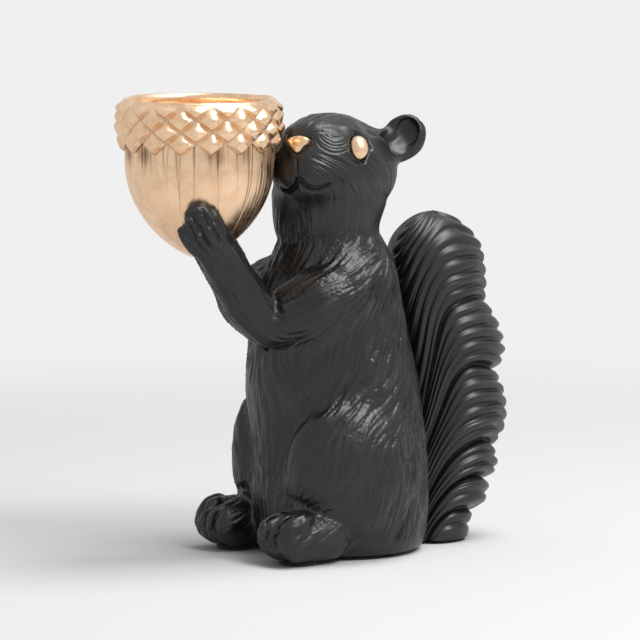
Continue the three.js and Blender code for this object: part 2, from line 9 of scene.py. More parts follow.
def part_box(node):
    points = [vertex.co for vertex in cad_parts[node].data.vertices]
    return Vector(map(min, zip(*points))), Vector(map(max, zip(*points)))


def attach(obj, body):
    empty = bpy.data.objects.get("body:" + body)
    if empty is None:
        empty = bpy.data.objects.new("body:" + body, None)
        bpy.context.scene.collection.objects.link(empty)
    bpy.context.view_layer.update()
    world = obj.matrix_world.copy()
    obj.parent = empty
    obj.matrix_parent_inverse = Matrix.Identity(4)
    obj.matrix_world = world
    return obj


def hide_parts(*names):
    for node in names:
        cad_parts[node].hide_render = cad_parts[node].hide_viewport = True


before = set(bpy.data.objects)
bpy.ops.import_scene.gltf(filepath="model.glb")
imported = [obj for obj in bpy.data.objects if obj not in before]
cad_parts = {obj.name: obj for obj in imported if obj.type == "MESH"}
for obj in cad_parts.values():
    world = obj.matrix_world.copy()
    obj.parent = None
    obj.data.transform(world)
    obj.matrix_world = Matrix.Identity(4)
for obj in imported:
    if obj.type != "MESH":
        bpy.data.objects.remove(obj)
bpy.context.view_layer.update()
print("frame loaded:", len(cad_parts), "nodes")

mm = 0.001

# The figure is laid out from the torso's axis, which stands in front of the tail's pad
tailPadBack = 31.98 * mm
padLow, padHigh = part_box("tail_pad")
axis = Vector(((padLow.x + padHigh.x) / 2, (padLow.y + padHigh.y) / 2 - tailPadBack, 0))


def onFigure(x, y, z):  # a place in millimetres from the axis and the floor
    return axis + Vector((x, y, z)) * mm


def fromAxis(place):  # millimetres from the axis, of a place in metres
    return (np.array(place) - np.array(axis)) / mm


# Camera

photoView = {
    "bearing": 57,  # degrees round from the front to the figure's left
    "distance": 1400,
    "height": 232,
    "aim": (-2.7, -4.2, 67.3),
    "focalPixels": 4837,
    "imagePixels": 640,
    "sensor": 36,
    "clip": (0.05, 20),
}


def makeCamera(view):
    data = bpy.data.cameras.new("camera")
    data.sensor_width = view["sensor"]
    data.lens = view["focalPixels"] / view["imagePixels"] * view["sensor"]
    data.clip_start, data.clip_end = view["clip"]
    camera = bpy.data.objects.new("camera", data)
    bearing = math.radians(view["bearing"])
    reach = view["distance"]
    camera.location = onFigure(reach * math.sin(bearing), -reach * math.cos(bearing), view["height"])
    ahead = onFigure(*view["aim"]) - camera.location
    camera.rotation_euler = ahead.to_track_quat("-Z", "Y").to_euler()
    bpy.context.scene.collection.objects.link(camera)
    bpy.context.scene.camera = camera


makeCamera(photoView)
print("camera set")


# Shader nodes


class Wire:
    # a socket that takes Python operators
    def __init__(self, tree, socket=None):
        self.tree = tree
        self.socket = socket

    def add(self, kind, settings, inputs, output=0):
        node = self.tree.nodes.new("ShaderNode" + kind)
        for name, value in settings.items():
            setattr(node, name, value)
        for name, value in inputs.items():
            if isinstance(value, Wire):
                self.tree.links.new(value.socket, node.inputs[name])
            else:
                node.inputs[name].default_value = value
        return Wire(self.tree, node.outputs[output]) if len(node.outputs) else node

    def maths(self, operation, first, second):
        return self.add("Math", {"operation": operation}, {0: first, 1: second})

    def __add__(self, other):
        return self.maths("ADD", self, other)

    def __radd__(self, other):
        return self.maths("ADD", other, self)

    def __sub__(self, other):
        return self.maths("SUBTRACT", self, other)

    def __rsub__(self, other):
        return self.maths("SUBTRACT", other, self)

    def __mul__(self, other):
        return self.maths("MULTIPLY", self, other)

    def __rmul__(self, other):
        return self.maths("MULTIPLY", other, self)

    def ranged(self, low, high, newLow=0, newHigh=1):
        inputs = {"From Min": low, "From Max": high, "To Min": newLow, "To Max": newHigh, "Value": self}
        return self.add("MapRange", {"interpolation_type": "SMOOTHSTEP"}, inputs)

    def mixed(self, first, second):
        return self.add("Mix", {"data_type": "RGBA"}, {0: self, 6: first, 7: second}, 2)


def newMaterial(name):
    material = bpy.data.materials.new(name)
    material.use_nodes = True
    material.node_tree.nodes.clear()
    return material, Wire(material.node_tree)


def bumped(wire, look, name, height):
    inputs = {"Strength": look[name + "Strength"], "Distance": look[name + "Height"], "Height": height}
    return wire.add("Bump", {}, inputs)


def paint(wire, inputs):  # the material's surface
    shader = wire.add("BsdfPrincipled", {}, inputs)
    wire.add("OutputMaterial", {}, {"Surface": shader})


# Finishes

resinLook = {
    # groove and ridge are the ends of a tone ramp set by carving depth: painted shade in grooves and folds,
    # lighter crests
    "groove": (0.003, 0.0032, 0.0035, 1),
    "ridge": (0.012, 0.0125, 0.0135, 1),
    "dustAndSheen": (0.06, 0.061, 0.065, 1),  # dust and wear on the highest places, with a painted highlight there too
    "dustAndSheenRelief": (0.62, 0.95),  # how high a place is where the dust and painted highlight lie
    "roughness": (0.31, 0.42),
    "specular": 0.56,
    "mottleScale": 140,
    "grainScale": 2400,
    "grainHeight": 0.02 * mm,
    "grainStrength": 0.12,
}


def makeResin(look):
    material, wire = newMaterial("black_resin")
    place = wire.add("TexCoord", {}, {}, "Object")
    relief = wire.add("Attribute", {"attribute_name": "relief"}, {}, "Fac")  # 0.5 on the plain surface, lower in grooves and folds, higher on crests
    blotch = {"Vector": place, "Scale": look["mottleScale"], "Detail": 5, "Roughness": 0.62}
    mottle = wire.add("TexNoise", {}, blotch)
    grain = wire.add("TexNoise", {}, {"Vector": place, "Scale": look["grainScale"], "Detail": 3})
    # the highest places take a lighter grey, partly dust and wear and partly a painted highlight
    wearAndSheen = relief.ranged(*look["dustAndSheenRelief"]) * mottle.ranged(0.42, 0.68)
    # painted shade and highlight: deep places take the groove colour, raised places the ridge colour
    tone = (relief * 0.8 + mottle * 0.3).ranged(0.2, 0.85)
    inputs = {
        "Base Color": wearAndSheen.mixed(tone.mixed(look["groove"], look["ridge"]), look["dustAndSheen"]),
        "Roughness": (mottle * 0.7 + grain * 0.3).ranged(0.25, 0.75, *look["roughness"]),
        "Specular IOR Level": look["specular"],
        "Normal": bumped(wire, look, "grain", grain),
    }
    paint(wire, inputs)
    return material


goldLook = {
    "bright": (0.97, 0.705, 0.47, 1),
    "deep": (0.84, 0.56, 0.35, 1),
    # the colour of the brown wash, which also paints shade in recesses and under the cap
    "brown": (0.27, 0.145, 0.078, 1),
    "roughness": (0.21, 0.37),
    "washAndShadeRoughness": 0.3,  # added where the wash and painted shade lie
    "washAndShadeDulling": 0.75,  # how much less metallic it is there
    "mottleScale": 210,
    "brushScale": 1500,
    "brushStretch": (1, 1, 0.06),
    "brushHeight": 0.03 * mm,
    "brushStrength": 0.35,
}


def makeGold(look):
    material, wire = newMaterial("gold_finish")
    place = wire.add("TexCoord", {}, {}, "Object")
    washAndShade = wire.add("Attribute", {"attribute_name": "washAndShade"}, {}, "Fac")  # brown wash in the recesses, with painted shade under the cap, in the cuts and in the nostrils
    blotch = {"Vector": place, "Scale": look["mottleScale"], "Detail": 5, "Roughness": 0.6}
    mottle = wire.add("TexNoise", {}, blotch)
    stretch = wire.add("Mapping", {}, {"Vector": place, "Scale": look["brushStretch"]})
    brush = wire.add("TexNoise", {}, {"Vector": stretch, "Scale": look["brushScale"], "Detail": 3})
    # brown wash and painted shade
    stainAndShade = (washAndShade + (mottle - 0.5) * 0.5 * washAndShade).ranged(0.05, 0.95)
    tone = mottle.ranged(0.3, 0.7).mixed(look["deep"], look["bright"])
    inputs = {
        "Base Color": stainAndShade.mixed(tone, look["brown"]),
        "Metallic": 1 - stainAndShade * look["washAndShadeDulling"],
        "Roughness": mottle.ranged(0.3, 0.7, *look["roughness"]) + stainAndShade * look["washAndShadeRoughness"],
        "Normal": bumped(wire, look, "brush", brush),
    }
    paint(wire, inputs)
    return material


feltLook = {
    "dark": (0.008, 0.008, 0.009, 1),
    "light": (0.035, 0.035, 0.037, 1),
    "roughness": 0.95,
    "sheen": 0.3,
    "fibreScale": 1900,
    "fibreTwist": 1.2,
    "fibreHeight": 0.12 * mm,
    "fibreStrength": 0.8,
}


def makeFelt(look):
    material, wire = newMaterial("felt")
    place = wire.add("TexCoord", {}, {}, "Object")
    fluff = {"Vector": place, "Scale": look["fibreScale"], "Detail": 5, "Distortion": look["fibreTwist"]}
    fibre = wire.add("TexNoise", {}, fluff)
    inputs = {
        "Base Color": fibre.ranged(0.3, 0.7).mixed(look["dark"], look["light"]),
        "Roughness": look["roughness"],
        "Sheen Weight": look["sheen"],
        "Normal": bumped(wire, look, "fibre", fibre),
    }
    paint(wire, inputs)
    return material


resin = makeResin(resinLook)
gold = makeGold(goldLook)
felt = makeFelt(feltLook)
print("finishes made")


# Points of a mesh as an array, in millimetres from the figure's axis


def readPoints(mesh):
    points = np.empty(len(mesh.vertices) * 3)
    mesh.vertices.foreach_get("co", points)
    return fromAxis(points.reshape(-1, 3))


def writePoints(mesh, points):
    mesh.vertices.foreach_set("co", (points * mm + np.array(axis)).ravel())
    mesh.update()


def readNormals(mesh):
    normals = np.empty(len(mesh.vertices) * 3)
    mesh.vertex_normals.foreach_get("vector", normals)
    return normals.reshape(-1, 3)


def setAttribute(mesh, name, values):
    layer = mesh.attributes.get(name) or mesh.attributes.new(name, "FLOAT", "POINT")
    layer.data.foreach_set("value", np.ascontiguousarray(values, dtype=np.float32))


def getAttribute(mesh, name):
    values = np.empty(len(mesh.vertices), dtype=np.float32)
    mesh.attributes[name].data.foreach_get("value", values)
    return values.astype(float)


def newPiece(name, bm):
    mesh = bpy.data.meshes.new(name)
    bm.to_mesh(mesh)
    bm.free()
    piece = bpy.data.objects.new(name, mesh)
    bpy.context.scene.collection.objects.link(piece)
    return piece


def neighbours(mesh):
    edges = np.empty(len(mesh.edges) * 2, dtype=np.int64)
    mesh.edges.foreach_get("vertices", edges)
    edges = edges.reshape(-1, 2)
    here = np.concatenate([edges[:, 0], edges[:, 1]])
    there = np.concatenate([edges[:, 1], edges[:, 0]])
    count = np.bincount(here, minlength=len(mesh.vertices))
    return here, there, np.maximum(count, 1)


def spread(values, links):  # the mean of each point's neighbours
    here, there, count = links
    if values.ndim == 1:
        return np.bincount(here, values[there], len(count)) / count
    return np.stack([np.bincount(here, column[there], len(count)) / count for column in values.T], axis=1)


def soften(points, links, rounds, weight):
    here, there, count = links
    busy = weight > 0.01
    part = busy[here]
    links = here[part], there[part], count
    share = np.where(busy, weight, 0)[:, None]
    for step in range(rounds):
        points = points + share * (spread(points, links) - points)
    return points


def nearness(points, place, reach):  # 1 at a place and 0 past its reach
    distance = np.linalg.norm(points - np.array(place), axis=1) / reach
    return np.clip(1 - distance, 0, 1) ** 2 * (1 + 2 * np.clip(distance, 0, 1))


def eased(values, low, high):
    share = np.clip((values - low) / (high - low), 0, 1)
    return share * share * (3 - 2 * share)


def bell(offset, reach):  # 1 in the middle, fading to both sides
    return np.exp(-((offset / reach) ** 2))


def unit(vectors):
    return vectors / (np.linalg.norm(vectors, axis=1)[:, None] + 1e-9)


# A casting's CAD nodes as one fine mesh that can be carved


def castFrom(name, settings):
    bm = bmesh.new()
    for node in settings["nodes"]:
        bm.from_mesh(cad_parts[node].data)
    bmesh.ops.remove_doubles(bm, verts=bm.verts, dist=0.001 * mm)
    crease = bm.edges.layers.float.new("crease_edge")
    for edge in bm.edges:
        edge[crease] = float(edge.calc_face_angle(0) > math.radians(settings["sharpAngle"]))
    bm.normal_update()
    for vert in bm.verts:  # closes the glue lines
        vert.co += vert.normal * settings["swell"] * mm
    for centre, radii, turn in settings.get("clay", []):  # rounds out what lies between the nodes
        size = Matrix.Diagonal((*(Vector(radii) * mm), 1))
        place = Matrix.Translation(onFigure(*centre)) @ turn.to_4x4() @ size
        bmesh.ops.create_uvsphere(bm, u_segments=40, v_segments=24, radius=1, matrix=place)
    piece = newPiece(name, bm)
    rounding = piece.modifiers.new("rounding", "SUBSURF")
    rounding.levels = rounding.render_levels = 2
    clay = piece.modifiers.new("clay", "REMESH")
    clay.mode = "VOXEL"
    clay.voxel_size = settings["voxel"] * mm
    depsgraph = bpy.context.evaluated_depsgraph_get()
    made = bpy.data.meshes.new_from_object(piece.evaluated_get(depsgraph))
    piece.modifiers.clear()
    piece.data = made
    made.name = name
    return piece


# Hair: random values combed along the way that the hair lies, and strokes cut along it


def lookup(points, cell):
    low = points.min(0) - 2 * cell
    size = np.ceil((points.max(0) - low) / cell).astype(int) + 3
    cells = np.full(size, -1, dtype=np.int64)
    at = ((points - low) / cell).astype(int)
    steps = [(x, y, z) for x in (-1, 0, 1) for y in (-1, 0, 1) for z in (-1, 0, 1)]
    for step in sorted(steps, key=lambda s: -(s[0] ** 2 + s[1] ** 2 + s[2] ** 2)):
        near = at + step
        cells[near[:, 0], near[:, 1], near[:, 2]] = np.arange(len(points))
    return cells, low


def walker(points, normals, way, cell):  # gives a step along the hair that stays on the surface
    cells, low = lookup(points, cell)
    last = np.array(cells.shape) - 1

    def walk(place, index, sign=1):
        place = place + sign * cell * way[index]
        at = np.clip(((place - low) / cell).astype(int), 0, last)
        found = cells[at[:, 0], at[:, 1], at[:, 2]]
        index = np.where(found >= 0, found, index)
        offset = place - points[index]
        offset -= (offset * normals[index]).sum(1)[:, None] * normals[index]
        return points[index] + offset, index

    return walk


def combed(points, normals, way, links, hair):
    walk = walker(points, normals, way, hair["cell"])
    values = np.random.default_rng(hair["seed"]).standard_normal(len(points))
    for step in range(hair["width"]):
        values = 0.5 * values + 0.5 * spread(values, links)
    steps = int(hair["length"] / 2 / hair["cell"])
    total = values.copy()
    for sign in (1, -1):
        index = np.arange(len(points))
        place = points
        for step in range(1, steps + 1):
            place, index = walk(place, index, sign)
            total += values[index] * (0.5 + 0.5 * math.cos(math.pi * step / (steps + 1)))
    return total / total.std()


def carvedStrokes(points, normals, way, stroke):  # thin cuts along the hair, 1 where they are deepest
    cell = stroke["cell"]
    walk = walker(points, normals, way, cell)
    random = np.random.default_rng(stroke["seed"])
    index = random.choice(len(points), stroke["count"], replace=False)
    place = points[index]
    length = random.uniform(*stroke["length"], len(index))
    strength = random.uniform(*stroke["strength"], len(index))
    track, share = [], []
    for step in range(int(stroke["length"][1] / cell)):
        along = step * cell / length
        live = along < 1
        track.append(place[live])
        share.append(strength[live] * np.sin(np.pi * along[live]) ** stroke["taper"])
        place, index = walk(place, index)
    track, share = np.vstack(track), np.concatenate(share)
    tree = kdtree.KDTree(len(track))
    for number, stop in enumerate(track.tolist()):
        tree.insert(stop, number)
    tree.balance()
    found = np.array([tree.find(point)[1:] for point in points.tolist()])
    return share[found[:, 0].astype(int)] * bell(found[:, 1], stroke["width"])


def lieOfHair(points, normals, guides, power):
    way = np.zeros_like(points)
    for place, direction in guides:
        distance = np.linalg.norm(points - np.array(place), axis=1)
        way += np.array(direction)[None, :] / (distance[:, None] + 1) ** power
    way -= (way * normals).sum(1)[:, None] * normals
    return unit(way)


# Carved lines


def smoothLine(stops, steps=6):  # a curve through the stops
    stops = np.array(stops, dtype=float)
    padded = np.vstack([2 * stops[0] - stops[1], stops, 2 * stops[-1] - stops[-2]])
    curve = []
    for a, b, c, d in zip(padded[:-3], padded[1:-2], padded[2:-1], padded[3:]):
        for t in np.linspace(0, 1, steps, endpoint=False):
            curve.append(b + t / 2 * (c - a + t * (2 * a - 5 * b + 4 * c - d + t * (3 * (b - c) + d - a))))
    return np.array(curve + [stops[-1]])


def laidOn(points, normals, line):  # a line's stops moved onto the surface
    laid = []
    for stop in line:
        nearest = np.argmin(((points - stop) ** 2).sum(1))
        laid.append(stop - normals[nearest] * ((stop - points[nearest]) @ normals[nearest]))
    return np.array(laid)


def groove(points, line, width, fade):  # 1 on a carved line, 0 past its sides and less near its ends
    margin = 3 * width
    near = np.flatnonzero(np.all((points > line.min(0) - margin) & (points < line.max(0) + margin), axis=1))
    best = np.full(len(near), 1e9)
    place = np.zeros(len(near))
    run = 0
    for start, end in zip(line[:-1], line[1:]):
        step = end - start
        size = np.linalg.norm(step) + 1e-9
        along = np.clip((points[near] - start) @ step / size**2, 0, 1)
        distance = np.linalg.norm(points[near] - start - along[:, None] * step, axis=1)
        closer = distance < best
        best[closer] = distance[closer]
        place[closer] = run + along[closer] * size
        run += size
    share = np.zeros(len(points))
    share[near] = bell(best, width) * np.clip(np.minimum(place, run - place) / fade, 0, 1)
    return share


# Figure: torso, legs, forelegs and head in one casting

headPose = {"centre": (0, 0, 111.5), "turn": 29, "raise": 20, "tilt": 6}
headTurn = np.array(
    Matrix.Rotation(math.radians(headPose["turn"]), 3, "Z")
    @ Matrix.Rotation(-math.radians(headPose["raise"]), 3, "X")
    @ Matrix.Rotation(-math.radians(headPose["tilt"]), 3, "Y")
)


def toHead(points):
    return (points - np.array(headPose["centre"])) @ headTurn


def fromHead(points):
    return np.array(points) @ headTurn.T + np.array(headPose["centre"])


sides = np.array([(1, 1, 1), (-1, 1, 1)])  # as it is on the left, and mirrored to the right


def onBothSides(points, place, reach):  # nearness to a place and to its mirror image
    return np.max([nearness(points * side, place, reach) for side in sides], axis=0)


figureCast = {
    "nodes": ["body", "left_foreleg", "right_foreleg", "head"],
    "voxel": 0.38,
    "swell": 0.2,
    "sharpAngle": 60,
    "underarms": [((13, -16, 70), (8.5, 10, 9)), ((-14, -13, 71), (8.5, 10, 9))],
    "pawTops": [((9.6, -53, 100.8), (4.6, 4.6, 4.4))],
    "seamRounds": 220,
    "seamBlend": 0.8,
    "seams": [
        ((16, -3, 84), 14),
        ((-16, -3, 84), 14),
        ((17, -14, 70), 14),
        ((-17, -11, 71), 14),
        ((0, -14, 84), 10),
    ],
    "seamGain": 1.5,
    "headSeams": [  # in the head's frame, mirrored
        ((12.5, 4.2, 7.5), 8),
        ((11, 3, 11), 6),
        ((0.8, -16.9, -15.3), 9),
        ((6.5, -15, -13.8), 9),
    ],
    "rounds": 60,
    "blend": 0.12,  # how much each round evens the surface
    "fineBlend": 0.03,
    "fineGain": 2,
    "fine": [((17, -34, 8), 13), ((-17, -34, 8), 13), ((7, -52, 99), 12), ((-22, -33, 99), 12)],
    "collarHeight": 95,  # where the head's piece meets the body's
    "waistHeight": 47,  # where the upper body's piece meets the lower ones
    # at the back of the neck's sides
    "neckPinch": {"height": 95, "reach": 6, "depth": 2, "way": (0.545, 0.839), "ease": 10},
}

earShape = {  # in the head's frame, mirrored
    "place": (15.6, 8.7, 10.5),
    "up": (0.6, 0.09, 0.79),
    "facing": (0.46, -0.87, -0.1),
    "radii": (6.4, 8, 3.3),  # half width, half height and half thickness
    "root": ((13, 6.3, 7.6), (5.6, 6.8, 4)),
    "hollow": (4.9, 6.3, 3.4),  # half width, half height and depth
    "hollowPower": 0.6,
    "hollowShift": (-0.5, 0.5, 0),  # towards the inner edge and the tip
    "hollowReach": (-1, 7),  # from behind the ear to its front
}

# Where the hair lies which way: a place and a direction. The left side's are mirrored to the right.
bodyHair = [
    ((17, -2, 89), (0, -0.86, -0.5)),
    ((19, -11, 84), (0.2, -0.85, -0.45)),
    ((23, 3, 62), (0.1, -0.5, -0.85)),
    ((18, 8, 74), (0.2, -0.1, -1)),
    ((21, -13, 61), (0, -0.3, -0.95)),
    ((1, -27, 60), (0, 0, -1)),
    ((8, -26, 52), (0.4, 0.2, -0.86)),
    ((26, -3, 44), (0.24, -0.8, -0.5)),
    ((23, -16, 43), (0, -0.7, -0.7)),
    ((16, -23, 38), (-0.4, -0.3, -0.86)),
    ((28, 2, 39), (0.2, -0.7, -0.6)),
    ((29, -13, 33), (0, -0.27, -0.96)),
    ((30, -6, 21), (-0.2, -0.1, -0.96)),
    ((29, 6, 29), (0, 0.1, -1)),
    ((25, -19, 14), (0.1, -0.9, -0.4)),
    ((17, -33, 10), (0, -0.9, -0.4)),
    ((3, -27, 40), (0, 0, -1)),
    ((0, 24, 60), (0, 0.1, -1)),
    ((0, 26, 25), (0, 0, -1)),
    ((0, 15, 88), (0, 0.3, -0.95)),
    ((15, 1, 99), (-0.1, 0.1, -1)),
    ((12, -12, 99), (-0.1, -0.1, -1)),
]
forelegHair = [
    ((22, -13, 80), (-0.34, -0.86, -0.39)),
    ((17, -24, 75), (-0.42, -0.8, -0.44)),
    ((13, -34, 70), (-0.1, -0.75, 0.6)),
    ((13, -34, 76), (0, -0.61, 0.79)),
    ((13, -43, 88), (0.1, -0.69, 0.71)),
    ((2, -36, 68), (-0.1, -0.7, 0.6)),
    ((-22, -9, 79), (0.2, -0.88, -0.43)),
    ((-19, -20, 73), (0.2, -0.88, -0.3)),
    ((-17, -28, 72), (-0.2, -0.5, 0.8)),
    ((-20, -30, 84), (-0.27, -0.35, 0.9)),
]
headHair = [
    ((0, -23, 4), (0, 0.8, 0.6)),
    ((5.4, -22.6, 3.4), (0.7, 0.7, 0)),
    ((4, -24, -2), (0.78, 0.53, -0.48)),
    ((11, -19, -6), (0.28, 0.93, -0.2)),
    ((14.7, -6.5, -8), (0.1, 0.9, -0.45)),
    ((2, -14, 10.5), (0.1, 0.9, 0.35)),
    ((0, -4, 14.5), (0, 1, 0.05)),
    ((8.9, -14.2, 7.6), (0.5, 0.85, 0.1)),
    ((0, 10, 15), (0, 0.9, -0.35)),
    ((0, 17, 3), (0, 0.25, -1)),
    ((11.8, -14, -9.5), (0.2, 0.75, -0.6)),
    ((3.4, -15.7, -15.4), (0, 0.4, -0.9)),
    ((0, -22, -13), (0, 0.3, -0.95)),
    ((17, 4, -2), (0, 0.6, -0.8)),
    ((16.5, -4, 3), (0.1, 0.98, -0.1)),
    ((15, 6, 10), (0.3, 0.6, 0.7)),
    ((18, 9, 16), (0.4, 0.1, 0.9)),
]
hairs = {
    "lock": {"cell": 0.38, "width": 6, "length": 15, "height": 0.1, "seed": 11},
    "strand": {"cell": 0.38, "width": 3, "length": 12, "height": 0.06, "seed": 12},
}
strokes = {
    "cell": 0.38,
    "count": 5200,
    "length": (5, 12),
    "strength": (0.4, 1),
    "taper": 0.6,
    "width": 0.52,
    "depth": 0.33,
    "seed": 13,
}
hairChange = {  # how the strength of the locks and of the strokes changes over the coat
    "locks": {"mean": 0.9, "swing": 0.35, "limits": (0.3, 1.5), "rounds": 250, "seed": 14},
    "strokes": {"mean": 0.85, "swing": 0.35, "limits": (0.2, 1.4), "rounds": 120, "seed": 15},
}
hairShare = {
    "guidePower": 4,
    "flatHeights": (2, 6),  # the underside stays flat
    "head": 0.5,  # shorter on the head and the neck
    "bare": [((15.6, 8.7, 10.5), 12), ((0, -25, -3), 13), ((5, -22, -10), 8)],  # ears and muzzle
    "bareness": 0.85,
    "bareGain": 2,
    "neckRadius": 24,
    "neckHeights": (92, 98),
    "patches": [  # where the strokes are deeper or fainter, mirrored
        ((18, -6, 84), 24, 0.6),
        ((24, 6, 58), 26, 0.6),
        ((21, -11, 43), 14, 0.6),
        ((29, 2, 22), 20, 0.3),
        ((4, -26, 48), 20, -0.45),
        ((19, -22, 28), 13, -0.5),
    ],
    # how strongly the hair's carving is painted into the colour: painted shade in its cuts, lighter on its
    # crests
    "relief": 2,
    # painted shade: how much darker the carved folds are painted
    "foldShade": 0.25,
}


def mirrored(guides):
    flipped = [((-x, y, z), (-u, v, w)) for (x, y, z), (u, v, w) in guides if abs(x) > 0.5]
    return guides + flipped


def hairGuides():
    guides = mirrored(bodyHair) + forelegHair
    for place, way in mirrored(headHair):
        guides.append((fromHead([place])[0], np.array(way) @ headTurn.T))
    return guides


# Carved folds: the cuts between the toes, between the fingers, along the forelegs and round the thighs

toeCuts = {
    "spread": 17,
    "offsets": (-4.2, 0, 4.2),
    "stops": [(-27, 15.5), (-33, 13), (-36.5, 8), (-36, 2)],
    "width": 0.7,
    "depth": 1.5,
    "fade": 3,
}
fingerCuts = {
    "offsets": (-3.6, -0.2, 3.2),
    "stops": [(-5, 5.6), (0, 5.4), (4, 4.6), (7.5, 3)],  # ahead of the paw's middle and above it
    "width": 0.55,
    "depth": 1,
    "fade": 2,
}
forelegCuts = {
    "offsets": (-5.4, -3.9, -2.2, -0.9, 0.8, 2.1, 3.6, 5.3),
    "stops": [(-30, 6.5), (-18, 6.5), (-6, 6.2)],
    "width": 0.36,
    "depth": 0.34,
    "fade": 7,
}
paws = [  # elbow, paw and the bearing of the paw's back
    ((5, -29, 68), (7.53, -50.92, 97.4), -30),
    ((-12, -22.5, 69), (-20.6, -33.68, 97.4), 147),
]
thighFold = [(8.6, -24.1, 22), (8.7, -24.2, 26.2), (9.5, -24.4, 32.1), (11.1, -24, 36.9)]
thighFold += [(13.7, -22.6, 41.2), (17.3, -19.8, 45.4), (20.3, -15.6, 48.1)]
thighFold += [(22.8, -9.7, 50), (23.8, -2.5, 51.6)]
thighCrest = [(15.5, -25.2, 25), (15.2, -24.6, 32.2), (15.8, -23, 36.2), (17.7, -20.7, 39.5)]
thighCrest += [(20.5, -17.5, 42.2), (22.4, -12.9, 44.1), (23.7, -6.9, 45.8)]
ankle = [(10, -24.4, 18.3), (12.6, -24.3, 18.2), (17.6, -23.4, 17.1), (21.2, -21.3, 15.9)]
instep = [(17, -31, 13.4), (21.5, -28.8, 13.9), (24.3, -24, 13)]
shoulder = [(16.7, -25.2, 76.3), (20.5, -21.8, 75.7), (23.4, -15.9, 76)]
shoulder += [(23.5, -6.8, 77), (21.6, 2.1, 78.3)]
sideLines = [  # folds and swells of a side, mirrored
    {"stops": thighFold, "width": 3.2, "depth": 1.7, "fade": 14},
    {"stops": thighCrest, "width": 5, "height": 1.9, "fade": 12},
    {"stops": ankle, "width": 1.2, "depth": 0.7, "fade": 5},
    {"stops": instep, "width": 4.2, "height": 1.4, "fade": 3},
    {"stops": shoulder, "width": 6, "height": 1.3, "fade": 8},
]


def foldLines():
    lines = []
    for side in sides:
        for offset in toeCuts["offsets"]:
            x = side[0] * toeCuts["spread"] + offset
            lines.append(toeCuts | {"stops": [(x, y, z) for y, z in toeCuts["stops"]]})
        lines += [line | {"stops": line["stops"] * side} for line in sideLines]
    for elbow, paw, bearing in paws:
        elbow, paw, angle = np.array(elbow), np.array(paw), math.radians(bearing)
        reach = (paw - elbow) / np.linalg.norm(paw - elbow)
        across = np.cross(reach, (math.cos(angle), math.sin(angle), 0))
        across /= np.linalg.norm(across)
        lift = np.cross(across, reach)
        for cuts in (fingerCuts, forelegCuts):
            for offset in cuts["offsets"]:
                base = paw + across * offset
                stops = [base + reach * ahead + lift * up for ahead, up in cuts["stops"]]
                lines.append(cuts | {"stops": stops})
    return lines


def patchy(count, links, change):  # a strength that changes slowly over a surface
    values = np.random.default_rng(change["seed"]).standard_normal(count)
    for step in range(change["rounds"]):
        values = spread(values, links)
    return np.clip(change["mean"] + change["swing"] * (values / values.std()), *change["limits"])


def earFrame(side):  # ways across, up and out of an ear, as columns
    up, facing = earShape["up"] * side, earShape["facing"] * side
    across = np.cross(up, facing)
    across /= np.linalg.norm(across)
    facing = np.cross(across, up) / np.linalg.norm(up)
    return np.stack([across, np.cross(facing, across), facing], axis=1)


def figureClay(cast):
    plain = Matrix.Identity(3)
    clay = [(place, radii, plain) for place, radii in cast["underarms"] + cast["pawTops"]]
    for side in sides:
        turn = Matrix((headTurn @ earFrame(side)).tolist())
        for place, radii in ((earShape["place"], earShape["radii"]), earShape["root"]):
            clay.append((fromHead(place * side), radii, turn))
    return clay


def hollowEars(points, normals):
    deep = np.zeros(len(points))
    local = toHead(points)
    facing = normals @ headTurn
    wide, high, depth = earShape["hollow"]
    rear, fore = earShape["hollowReach"]
    for side in sides:
        ways = earFrame(side)
        place = (local - earShape["place"] * side) @ ways - earShape["hollowShift"] * side
        inside = np.clip(1 - (place[:, 0] / wide) ** 2 - (place[:, 1] / high) ** 2, 0, 1)
        inside **= earShape["hollowPower"]
        front = (place[:, 2] > rear) & (place[:, 2] < fore)
        deep = np.maximum(deep, depth * inside * front * eased(facing @ ways[:, 2], 0, 0.5))
    return deep


